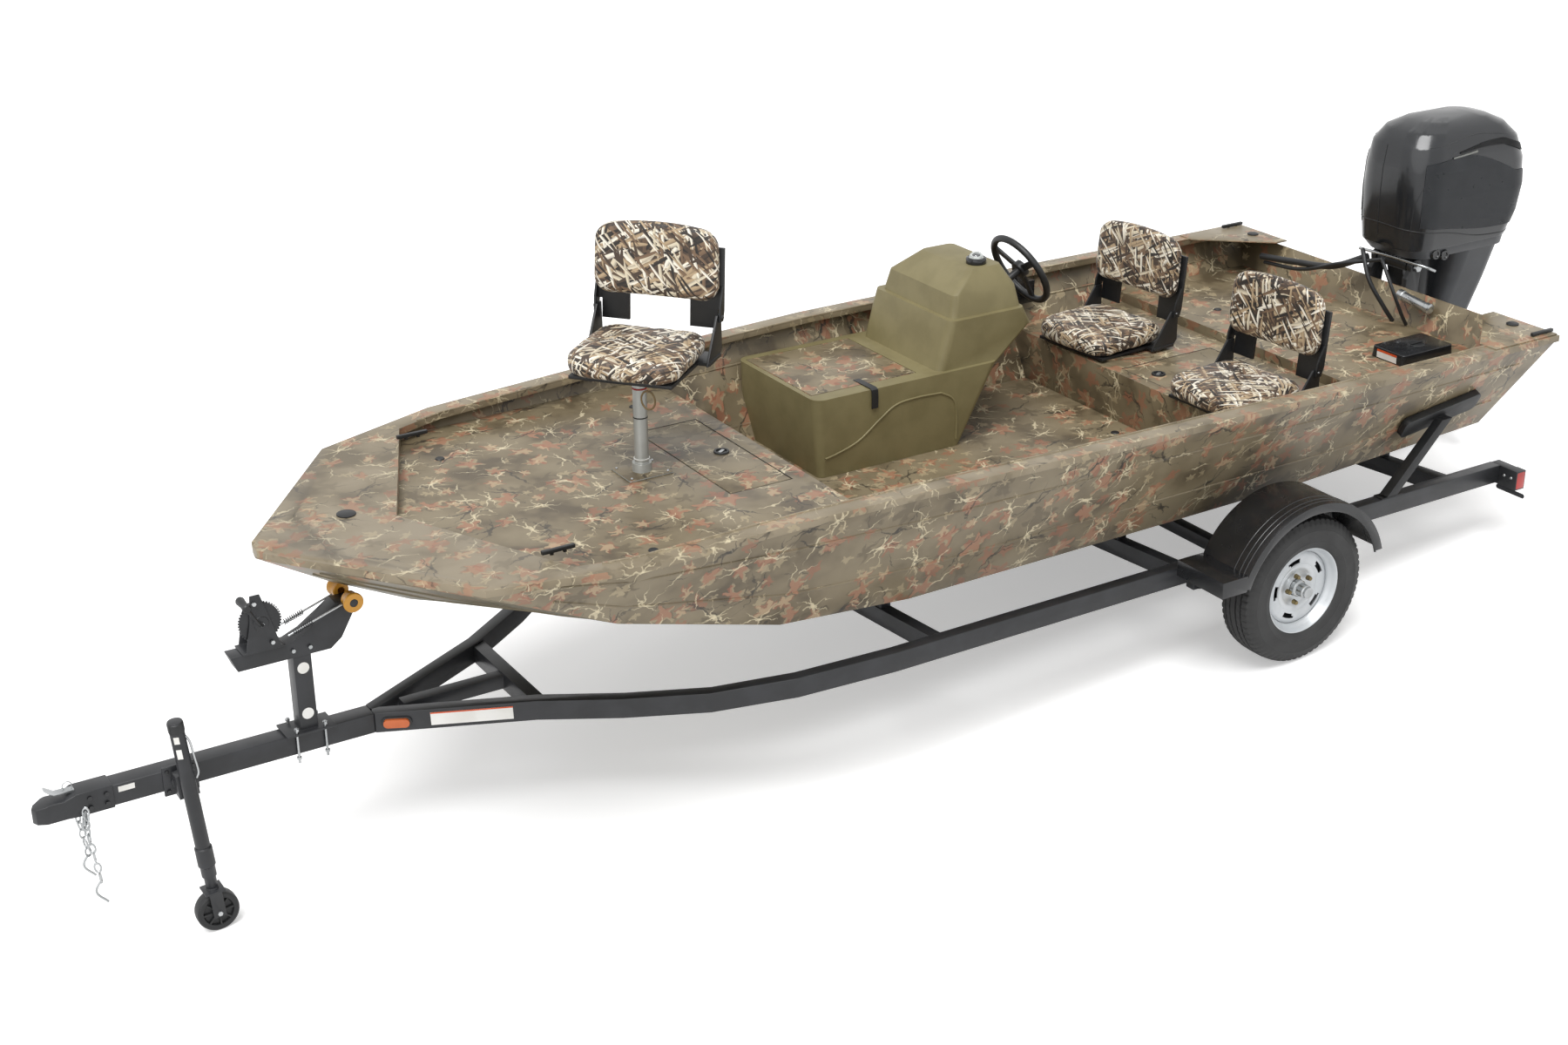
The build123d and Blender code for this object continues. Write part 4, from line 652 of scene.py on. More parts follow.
def plate(outline: Sequence[tuple[float, float]], depth: float, place: Matrix, edge_mm: float = 1.5,
          shape: Shape | None = None) -> Shape:
    """Raises an outline into a plate with eased edges.

    Args:
        outline: Corners in the plate's own X and Y, in metres.
        depth: Its thickness along its own Z.
        place: Where its frame stands.
        edge_mm: Radius of its edges.
        shape: The mesh it is added to, or nothing for a new one.

    Returns:
        The mesh.
    """
    own = bmesh.new()
    face = own.faces.new([own.verts.new((x, y, 0.0)) for x, y in outline])
    raised = bmesh.ops.extrude_face_region(own, geom=[face])
    bmesh.ops.translate(own, vec=(0, 0, depth), verts=[v for v in raised["geom"]
                                                       if isinstance(v, bmesh.types.BMVert)])
    bmesh.ops.recalc_face_normals(own, faces=own.faces)
    if edge_mm > 0:
        bmesh.ops.bevel(own, geom=own.edges[:], offset=edge_mm * MM, segments=2, profile=0.5,
                        affect="EDGES", clamp_overlap=True)
    mesh = bpy.data.meshes.new("plate_work")
    own.to_mesh(mesh)
    own.free()
    mesh.transform(place)
    shape = shape or bmesh.new()
    shape.from_mesh(mesh)
    bpy.data.meshes.remove(mesh)
    return shape


def oblong(length: float, breadth: float, corner: float = 0.0, steps: int = 5) -> list[tuple[float, float]]:
    """Gives the outline of an oblong with rounded corners, about its middle.

    Args:
        length: Size in X.
        breadth: Size in Y.
        corner: Corner radius.
        steps: Faces round each corner.

    Returns:
        The outline's corners.
    """
    if corner <= 0:
        return [(-length / 2, -breadth / 2), (length / 2, -breadth / 2), (length / 2, breadth / 2),
                (-length / 2, breadth / 2)]
    outline = []
    for quarter, (sx, sy) in enumerate(((1, 1), (-1, 1), (-1, -1), (1, -1))):
        for step in range(steps + 1):
            turn = (quarter + step / steps) * math.pi / 2
            outline.append((sx * (length / 2 - corner) + corner * math.cos(turn),
                            sy * (breadth / 2 - corner) + corner * math.sin(turn)))
    return outline


def stand_at(point: Point, up: Point = (0, 0, 1), spin: float = 0.0) -> Matrix:
    """Gives a frame that stands at a point with its Z along a direction and its X level."""
    out = Vector(up).normalized()
    level = Vector((0, 0, 1)).cross(out)
    level = Vector((1, 0, 0)) if level.length < 0.01 else level.normalized()
    turn = Matrix((level, out.cross(level), out)).transposed().to_4x4()
    return Matrix.Translation(Vector(point)) @ turn @ Matrix.Rotation(spin, 4, "Z")


class Skin:
    """The outer surface of a CAD node, on which thin pieces are laid."""

    def __init__(self, node: str) -> None:
        """Reads the surface of a node."""
        shape = bmesh.new()
        shape.from_mesh(frame["nodes"][node].data)
        self.surface = BVHTree.FromBMesh(shape)
        shape.free()

    def hit(self, start: Point, toward: Point, out: float = 0.0) -> Vector:
        """Finds where a line from outside meets the surface.

        Args:
            start: A point outside, in the boat's frame.
            toward: The line's direction.
            out: Distance above the surface.

        Returns:
            The point in the boat's frame, or the start where the line misses.
        """
        way = (PARKED.to_3x3() @ Vector(toward)).normalized()
        point, normal, _, _ = self.surface.ray_cast(PARKED @ Vector(start), way)
        if point is None:
            return Vector(start)
        normal = -normal if normal.dot(way) > 0 else normal
        return PARKED.inverted() @ (point + normal * out)


def smooth_path(points: Sequence[Point], steps: int = 8) -> list[Vector]:
    """Runs a smooth curve through points.

    Args:
        points: Points it passes.
        steps: Points for each run between two of them.

    Returns:
        The curve's points.
    """
    knots = [Vector(p) for p in points]
    knots = [2 * knots[0] - knots[1], *knots, 2 * knots[-1] - knots[-2]]
    path = []
    for a, b, c, d in zip(knots, knots[1:], knots[2:], knots[3:]):
        for step in range(steps):
            t = step / steps
            path.append(0.5 * (2 * b + (c - a) * t + (2 * a - 5 * b + 4 * c - d) * t * t
                               + (3 * b - a - 3 * c + d) * t ** 3))
    return [*path, knots[-2]]


def spread(low: float, high: float, count: int) -> list[float]:
    """Gives evenly spaced values from low to high, one more than count."""
    return [low + (high - low) * step / count for step in range(count + 1)]


def worker_on(mesh: Mesh) -> Object:
    """Puts a mesh in a scratch object that takes its modifiers."""
    worker = bpy.data.objects.new("worker", mesh)
    bpy.context.scene.collection.objects.link(worker)
    return worker


def result_of(worker: Object) -> Mesh:
    """Takes the plain mesh that a scratch object's modifiers give, and removes object and modifiers.

    Args:
        worker: The scratch object.

    Returns:
        The mesh.
    """
    bpy.context.view_layer.update()
    depsgraph = bpy.context.evaluated_depsgraph_get()
    mesh = bpy.data.meshes.new_from_object(worker.evaluated_get(depsgraph), depsgraph=depsgraph)
    worker.modifiers.clear()
    bpy.data.objects.remove(worker)
    return mesh


@dataclass(frozen=True)
class Growth:
    """Geometry Nodes that grow a piece on a mesh, with its sizes and its finish as inputs."""

    name: str = "growth"
    sizes: tuple[tuple[str, str], ...] = ()

    def grow(self, tree: Graph, given: Any) -> Node:
        """Gives the node whose geometry is the piece."""
        raise NotImplementedError

    def on_points(self, tree: Graph, given: Any, item: Node) -> Node:
        """Sets an item on every point of the mesh, turned as the point says.

        Args:
            tree: The tree.
            given: The tree's inputs.
            item: The item.

        Returns:
            The node of the items.
        """
        turn = tree.add("GeometryNodeInputNamedAttribute", {"Name": "turn"}, data_type="FLOAT_VECTOR")
        spin = tree.add("FunctionNodeEulerToRotation", (turn,))
        return tree.add("GeometryNodeInstanceOnPoints",
                        {"Points": given["Geometry"], "Instance": item, "Rotation": spin})

    def build(self) -> Tree:
        """Makes the tree once.

        Returns:
            The tree.
        """
        if self.name in bpy.data.node_groups:
            return bpy.data.node_groups[self.name]
        tree = Graph(bpy.data.node_groups.new(self.name, "GeometryNodeTree"))
        for label, kind in (("Geometry", "Geometry"), *self.sizes, ("Finish", "Material")):
            tree.own.interface.new_socket(label, in_out="INPUT", socket_type=f"NodeSocket{kind}")
        tree.own.interface.new_socket("Geometry", in_out="OUTPUT", socket_type="NodeSocketGeometry")
        given = tree.add("NodeGroupInput").outputs
        real = tree.add("GeometryNodeRealizeInstances", {0: self.grow(tree, given)})
        coat = tree.add("GeometryNodeSetMaterial", {0: real, "Material": given["Finish"]})
        tree.add("NodeGroupOutput", {0: coat})
        return tree.own


@dataclass(frozen=True)
class PathTube(Growth):
    """A round section along a path."""

    name: str = "path_tube"
    sizes: tuple[tuple[str, str], ...] = (("Radius", "Float"), ("Sides", "Int"))

    def grow(self, tree: Graph, given: Any) -> Node:
        """Runs the section along the path."""
        line = tree.add("GeometryNodeMeshToCurve", {0: given["Geometry"]})
        ring = tree.add("GeometryNodeCurvePrimitiveCircle",
                        {"Resolution": given["Sides"], "Radius": given["Radius"]})
        return tree.add("GeometryNodeCurveToMesh", {"Curve": line, "Profile Curve": ring, "Fill Caps": True})


@dataclass(frozen=True)
class SetHeads(Growth):
    """A turned head on every point."""

    name: str = "set_heads"
    sizes: tuple[tuple[str, str], ...] = (("Radius", "Float"), ("Crown", "Float"), ("Height", "Float"),
                                          ("Sides", "Int"))

    def grow(self, tree: Graph, given: Any) -> Node:
        """Turns the head and sets it."""
        head = tree.add("GeometryNodeMeshCone", {"Vertices": given["Sides"], "Radius Top": given["Crown"],
                                                 "Radius Bottom": given["Radius"], "Depth": given["Height"]})
        return self.on_points(tree, given, head)


@dataclass(frozen=True)
class SetLinks(Growth):
    """A chain link on every point."""

    name: str = "set_links"
    sizes: tuple[tuple[str, str], ...] = (("Width", "Float"), ("Wire", "Float"))
    stretch: float = 1.65

    def grow(self, tree: Graph, given: Any) -> Node:
        """Bends the link, stretches it and sets it."""
        loop, wire = (tree.add("GeometryNodeCurvePrimitiveCircle", {"Resolution": count, "Radius": given[size]})
                      for count, size in ((14, "Width"), (6, "Wire")))
        ring = tree.add("GeometryNodeCurveToMesh", {"Curve": loop, "Profile Curve": wire})
        link = tree.add("GeometryNodeTransform", {"Geometry": ring, "Scale": (self.stretch, 1.0, 1.0)})
        return self.on_points(tree, given, link)


def grown(name: str, mesh: Mesh, growth: Growth, sizes: dict[str, Any], finish: Finish, body: str,
          place: Matrix, crease: float = 35.0) -> Object:
    """Grows Geometry Nodes on a mesh and keeps the result as a plain piece.

    Args:
        name: The piece's name.
        mesh: The path or the points, in their own frame.
        growth: What grows on it.
        sizes: The tree's inputs by label.
        finish: The piece's finish.
        body: The CAD body it rides on.
        place: Where its own frame stands.
        crease: Angle in degrees above which an edge is shaded sharp.

    Returns:
        The piece.
    """
    worker = worker_on(mesh)
    modifier = worker.modifiers.new("grow", "NODES")
    modifier.node_group = growth.build()
    sockets = {item.name: item.identifier for item in modifier.node_group.interface.items_tree
               if item.item_type == "SOCKET" and item.in_out == "INPUT"}
    for label, value in {**sizes, "Finish": finish.material()}.items():
        modifier[sockets[label]] = value
    result = result_of(worker)
    result.name = name
    bpy.data.meshes.remove(mesh)
    result.transform(place)
    return finish_piece(name, result, finish, body, crease)


def run(name: str, points: Sequence[Point], radius_mm: float, finish: Finish, body: str = BOAT,
        place: Matrix = PARKED, sides: int = 12, closed: bool = False) -> Object:
    """Runs a tube, bead, rod or hose along points.

    Args:
        name: The piece's name.
        points: Its middle line.
        radius_mm: Its radius.
        finish: Its finish.
        body: The CAD body it rides on.
        place: Where its own frame stands.
        sides: Faces round it.
        closed: Whether it joins up with its start.

    Returns:
        The piece.
    """
    mesh = bpy.data.meshes.new(f"{name}_path")
    edges = [(i, i + 1) for i in range(len(points) - 1)]
    if closed:
        edges.append((len(points) - 1, 0))
    mesh.from_pydata([tuple(p) for p in points], edges, [])
    sizes = {"Radius": radius_mm * MM, "Sides": sides}
    return grown(name, mesh, PathTube(), sizes, finish, body, place, 50.0)


def heads(name: str, spots: Iterable[tuple[Point, Point]], radius_mm: float, height_mm: float,
          finish: Finish = Finish.ZINC, body: str = BOAT, place: Matrix = PARKED, sides: int = 12,
          crown: float = 0.8) -> Object:
    """Sets screw or bolt heads.

    Args:
        name: The piece's name.
        spots: Each head's place and the way it faces.
        radius_mm: Radius at its foot.
        height_mm: Its height.
        finish: Its finish.
        body: The CAD body they ride on.
        place: Where their own frame stands.
        sides: Sides of a head, six for a hexagon.
        crown: Share of the radius left at the top.

    Returns:
        The piece.
    """
    spots = list(spots)
    mesh = bpy.data.meshes.new(f"{name}_points")
    mesh.from_pydata([tuple(p) for p, _ in spots], [], [])
    turns = mesh.attributes.new("turn", "FLOAT_VECTOR", "POINT")
    for index, (_, up) in enumerate(spots):
        turns.data[index].vector = Vector(up).to_track_quat("Z", "Y").to_euler()
    sizes = {"Radius": radius_mm * MM, "Crown": crown * radius_mm * MM, "Height": height_mm * MM,
             "Sides": sides}
    return grown(name, mesh, SetHeads(), sizes, finish, body, place, 30.0)


@dataclass
class Hull:
    """The riveted aluminium hull: its printed shell, pressed side ribs and bottom strakes."""

    stations: tuple[tuple[float, ...], ...] = (
        (-1.339, 0.700, 0.598, 0.560, 0.968, 1.046), (-0.300, 0.700, 0.547, 0.507, 0.976, 1.052),
        (1.030, 0.700, 0.532, 0.480, 0.956, 1.055), (1.600, 0.700, 0.528, 0.470, 0.920, 1.049),
        (2.150, 0.700, 0.569, 0.464, 0.886, 1.036), (2.770, 0.675, 0.728, 0.502, 0.858, 1.012),
        (3.234, 0.690, 0.944, 0.665, 0.723, 0.993), (3.520, 0.338, 0.952, 0.806, 0.345, 0.992),
        (3.768, 0.014, 0.960, 0.954, 0.022, 0.9915))
    rib_heights: tuple[float, ...] = (0.30, 0.74)
    rib_mm: float = 6.0
    rib_ends: tuple[float, float] = (-1.30, 3.02)
    strake_shares: tuple[float, ...] = (0.3, 0.62)
    strake_mm: float = 7.0
    strake_ends: tuple[float, float] = (0.2, 3.60)
    sink: float = 0.002

    def row(self, x: float) -> list[float]:
        """Gives chine and keel and sheer at x: half-breadths and heights, in line between stations."""
        for near, far in zip(self.stations, self.stations[1:]):
            if near[0] <= x <= far[0]:
                share = (x - near[0]) / (far[0] - near[0])
                return [a + (b - a) * share for a, b in zip(near[1:], far[1:])]
        return list(min(self.stations, key=lambda station: abs(station[0] - x))[1:])

    def side(self, x: float, share: float) -> tuple[float, float]:
        """Gives the half-breadth and height of the side at a share of its height."""
        chine_y, chine_z, _, sheer_y, sheer_z = self.row(x)
        return chine_y + (sheer_y - chine_y) * share, chine_z + (sheer_z - chine_z) * share

    def build(self) -> Iterator[Object]:
        """Builds the shell, its ribs and its strakes.

        Returns:
            The pieces, as each is made.
        """
        yield dressed("hull", Finish.LEAF_SHEET, 1.2)
        for side, label in SIDES:
            for number, share in enumerate(self.rib_heights):
                points = [(x, side * (self.side(x, share)[0] - self.sink), self.side(x, share)[1])
                          for x in spread(*self.rib_ends, 40)]
                yield run(f"side_rib_{label}_{number}", points, self.rib_mm, Finish.LEAF_SHEET)
            for number, share in enumerate(self.strake_shares):
                points = []
                for x in spread(*self.strake_ends, 32):
                    chine_y, chine_z, keel_z = self.row(x)[:3]
                    points.append((x, side * chine_y * share, keel_z + (chine_z - keel_z) * share + self.sink))
                yield run(f"strake_{label}_{number}", points, self.strake_mm, Finish.OLIVE_PAINT)


@dataclass
class Gunwales:
    """The caps, the bow plate and the stern corner plates, with their black plugs."""

    hull: Hull
    lip_mm: float = 5.0
    lip_ends: tuple[float, float] = (-1.40, 2.86)
    lip_inset: float = 0.074
    lip_sink: float = 0.001
    corner_plate: tuple[tuple[float, float], ...] = (
        (-1.440, 0.958), (-1.440, 0.62), (-1.375, 0.62), (-1.24, 0.74), (-1.08, 0.872), (-1.08, 0.958))
    corner_gauge: float = 0.006
    corner_height: float = 1.0465
    plugs: tuple[tuple[float, float, float, float], ...] = (
        (3.405, -0.10, 0.9935, 0.034), (-1.375, -0.78, 1.0535, 0.026), (-1.375, 0.78, 1.0535, 0.026))

    def build(self) -> Iterator[Object]:
        """Builds the caps and what stands on them.

        Returns:
            The pieces, as each is made.
        """
        yield from [dressed("gunwales", Finish.LEAF_CAP, 5.0, 3), dressed("cleats", Finish.BLACK_MOULDING, 3.0)]
        for side, label in SIDES:
            lip = [(x, side * (self.hull.row(x)[3] - self.lip_inset), self.hull.row(x)[4] - self.lip_sink)
                   for x in spread(*self.lip_ends, 40)]
            yield run(f"cap_lip_{label}", lip, self.lip_mm, Finish.LEAF_CAP)
            outline = [(x, side * y) for x, y in self.corner_plate]
            yield make_piece(f"stern_corner_{label}",
                             plate(outline, self.corner_gauge, stand_at((0, 0, self.corner_height)), 1.5),
                             Finish.LEAF_CAP)
        shape = bmesh.new()
        for x, y, z, radius in self.plugs:
            lathe(((0, 0.006), (radius * 0.8, 0.006), (radius, 0.003), (radius, -0.004)),
                  stand_at((x, y, z)), 32, shape)
        yield make_piece("cap_plugs", shape, Finish.BLACK_MOULDING)


@dataclass
class Decks:
    """Floor, bow deck with its hatch, bench with its lid, stern deck, latches and deck plugs."""

    latch_radius: float = 0.030
    latches: tuple[tuple[str, str, float, float, float], ...] = (
        ("hatch_latch", "hatch", 1.967, -0.008, 0.9415), ("bench_latch", "bench_cover", -0.153, -0.003, 0.832))
    plugs: tuple[tuple[float, float, float], ...] = (
        (2.881, -0.511, 0.9415), (2.604, 0.631, 0.9415), (2.02, -0.60, 0.9415), (0.074, 0.006, 0.620),
        (-0.85, -0.42, 0.876), (-1.16, 0.70, 0.876))
    plug_radius: float = 0.018
    bar_ends: tuple[Point, Point] = ((-0.075, -0.255, 0.832), (-0.280, -0.185, 0.832))
    seams: dict[str, tuple[float, float, float, float]] = field(default_factory=lambda: {
        "hatch_seam": (1.8795, 2.1412, 0.3542, 0.9405), "bench_seam": (-0.5612, -0.0688, 0.1412, 0.8310)})
    seam_mm: float = 1.8

    def build(self) -> Iterator[Object]:
        """Builds the decks, lids and latches.

        Returns:
            The pieces, as each is made.
        """
        yield from [dressed(node, Finish.LEAF_SHEET, 1.2)
                    for node in ("floor", "bow_deck", "deck_hatch", "aft_deck", "bench_lid")]
        for name, body, x, y, z in self.latches:
            place = stand_at((x, y, z))
            radius = self.latch_radius
            ring = lathe(((radius * 0.66, 0.001), (radius * 0.7, 0.006), (radius * 0.95, 0.006),
                          (radius, 0.003), (radius, -0.001)), place, 40)
            lathe(((0, 0.0012), (radius * 0.66, 0.0012), (radius * 0.66, -0.001)), place, 40, ring)
            yield make_piece(f"{name}_ring", ring, Finish.BLACK_MOULDING, body)
            yield make_piece(f"{name}_handle",
                             plate(oblong(radius * 1.1, radius * 0.45, 0.005), 0.004,
                                   stand_at((x, y, z + 0.0015), (0, 0, 1), 0.6), 1.0),
                             Finish.ZINC, body)
        for name, (x0, x1, half, z) in self.seams.items():
            edge = [(x0, -half, z), (x1, -half, z), (x1, half, z), (x0, half, z)]
            yield run(name, edge, self.seam_mm, Finish.BLACK_MOULDING, sides=8, closed=True)
        shape = bmesh.new()
        for x, y, z in self.plugs:
            lathe(((0, 0.004), (self.plug_radius * 0.85, 0.004), (self.plug_radius, 0.0015),
                   (self.plug_radius, -0.001)), stand_at((x, y, z)), 28, shape)
        yield make_piece("deck_plugs", shape, Finish.BLACK_MOULDING)
        start, end = (Vector(p) for p in self.bar_ends)
        along = end - start
        bar = plate(oblong(along.length, 0.022, 0.004), 0.010,
                    stand_at((start + end) / 2, (0, 0, 1), math.atan2(along.y, along.x)), 2.0)
        yield make_piece("bench_bar", bar, Finish.LEAF_SHEET)


@dataclass
class Console:
    """The rotomoulded side console with its locker lid, strap latch, compass, wheel and throttle."""

    strap_at: tuple[float, float] = (1.13, -0.292)
    strap_width: float = 0.030
    compass: Point = (0.512, -0.412, 1.3415)
    wheel_foot: Point = (0.3425, -0.560, 1.107)
    wheel_tilt: float = math.radians(62.0)
    column: float = 0.200
    groove_mm: float = 4.5
    waves: tuple[tuple[tuple[float, float], ...], ...] = (
        ((1.36, 0.700), (1.30, 0.712), (1.20, 0.745), (1.10, 0.815), (1.02, 0.862), (0.92, 0.872),
         (0.80, 0.868)),
        ((0.80, 0.868), (0.74, 0.830), (0.72, 0.760), (0.72, 0.650)))
    strap_line: tuple[tuple[float, float], ...] = (
        (-0.075, 0.953), (-0.02, 0.955), (0.050, 0.956), (0.062, 0.950), (0.066, 0.925), (0.066, 0.872))

    def build(self) -> Iterator[Object]:
        """Builds the console and its fittings.

        Returns:
            The pieces, as each is made.
        """
        yield from [dressed("console", Finish.OLIVE_MOULDING, 12.0, 4, 40.0),
                    dressed("locker_lid", Finish.LEAF_SHEET, 3.0, 3),
                    dressed("helm_fittings", Finish.BLACK_GLOSS, 2.5, 3),
                    dressed("steering_wheel", Finish.BLACK_MOULDING, 3.0, 3)]
        moulding = Skin("console")
        for number, wave in enumerate(self.waves):
            groove = [moulding.hit((x, 0.0, z), (0, -1, 0), 0.0005)
                      for x, _, z in smooth_path([(x, 0.0, z) for x, z in wave], 6)]
            yield run(f"console_groove_{number}", groove, self.groove_mm, Finish.OLIVE_MOULDING)
        x, y = self.strap_at
        half = self.strap_width / 2
        strap = bmesh.new()
        rows = [[strap.verts.new((x + side * half, y + across, height)) for side in (-1, 1)]
                for across, height in self.strap_line]
        for low, high in zip(rows, rows[1:]):
            strap.faces.new((low[0], low[1], high[1], high[0]))
        bmesh.ops.recalc_face_normals(strap, faces=strap.faces)
        bmesh.ops.solidify(strap, geom=strap.faces[:], thickness=0.004)
        yield make_piece("lid_strap", strap, Finish.BLACK_MOULDING, "locker_cover")
        dome_place = stand_at(self.compass)
        yield make_piece("compass_ring", lathe(
            ((0.031, 0.0), (0.031, 0.007), (0.036, 0.010), (0.041, 0.007), (0.043, 0.0)), dome_place, 48),
            Finish.BLACK_GLOSS)
        yield make_piece("compass_card", lathe(
            ((0, 0.012), (0.018, 0.012), (0.024, 0.006), (0.0245, 0.001)), dome_place, 40),
            Finish.WHITE_RING)
        yield make_piece("compass_dome", lathe(
            [(0.0325 * math.cos(a), 0.0325 * math.sin(a)) for a in spread(math.pi / 2, 0.0, 12)],
            dome_place, 48), Finish.DOME)
        axis = Vector((-math.sin(self.wheel_tilt), 0, math.cos(self.wheel_tilt)))
        hub = Vector(self.wheel_foot) + self.column * axis
        yield make_piece("wheel_hub_cap", lathe(
            ((0, 0.020), (0.020, 0.019), (0.030, 0.016), (0.034, 0.010), (0.036, 0.0)),
            stand_at(hub, axis), 40), Finish.BLACK_GLOSS, "helm_wheel")


@dataclass
class Seat:
    """A fold-down seat: black moulded frame and back, with two padded cushions in reed print."""

    name: str
    spot: Point
    heading: float
    frame_body: str
    back_body: str
    depth: float = 0.420
    width: float = 0.450
    thick: float = 0.084
    pan: float = 0.0123
    hinge: Point = (-0.204, 0.0, 0.147)
    lean: float = math.radians(5.0)
    pad_low: float = 0.057
    pad_height: float = 0.279
    pad_back: float = -0.014
    pad_thick: float = 0.052
    pad_breadth: float = 0.504
    swell_mm: float = 8.0
    wrap: float = 1.4

    def stand(self) -> Matrix:
        """Gives the seat's own frame in the row frame."""
        turn = Matrix.Rotation(math.radians(self.heading), 4, "Z")
        return PARKED @ Matrix.Translation(Vector(self.spot)) @ turn

    def leaned(self) -> Matrix:
        """Gives the back's own frame in the row frame."""
        return self.stand() @ Matrix.Translation(Vector(self.hinge)) @ Matrix.Rotation(-self.lean, 4, "Y")

    def build(self, cushion: Mesh, pad: Mesh) -> Iterator[Object]:
        """Builds the seat round its two cushion shapes.

        Args:
            cushion: The swollen seat cushion in the seat's own frame.
            pad: The swollen back cushion in the back's own frame.

        Returns:
            The pieces, as each is made.
        """
        yield from [dressed(f"{self.name}_seat_frame", Finish.BLACK_MOULDING, 2.0, 3),
                    dressed(f"{self.name}_back_frame", Finish.BLACK_MOULDING, 3.0, 3)]
        for source, label, place, body, axes in (
                (cushion, "cushion", self.stand(), self.frame_body, (0, 1, 2)),
                (pad, "back_pad", self.leaned(), self.back_body, (2, 1, 0))):
            mesh = source.copy()
            weave = mesh.attributes.new("weave", "FLOAT_VECTOR", "POINT")
            low, high = zip(*((min(reach), max(reach)) for reach in
                              ([vertex.co[axis] for vertex in mesh.vertices] for axis in axes)))
            for vertex, entry in zip(mesh.vertices, weave.data):
                along, across, deep = (vertex.co[axis] for axis in axes)
                drop = self.wrap * (high[2] - deep)
                ahead = (along - (low[0] + high[0]) / 2) / (high[0] - low[0]) * 2
                entry.vector = (along + drop * ahead + self.spot[0],
                                across + drop * across / high[1] + self.spot[1], 0.0)
            mesh.transform(place)
            piece = finish_piece(f"{self.name}_{label}_padded", mesh, Finish.REED_CLOTH, body, 180.0)
            yield stands_for(piece, f"{self.name}_{label}")
        ear = self.width / 2 + 0.021
        spots = [((self.hinge[0], side * ear, self.hinge[2]), (0, side, 0)) for side in (-1, 1)]
        yield heads(f"{self.name}_hinge_bolts", spots, 9.0, 6.0, Finish.BLACK_GLOSS, self.frame_body,
                    self.stand(), 18, 0.7)
        loop = [(0.165 + 0.004 * math.cos(a), 0.10 + 0.026 * math.sin(a), -0.018 - 0.036 * (1 - math.cos(a)))
                for a in [math.tau * step / 20 for step in range(20)]]
        yield run(f"{self.name}_strap_loop", loop, 3.5, Finish.WEBBING, self.frame_body,
                  self.stand(), 8, True)


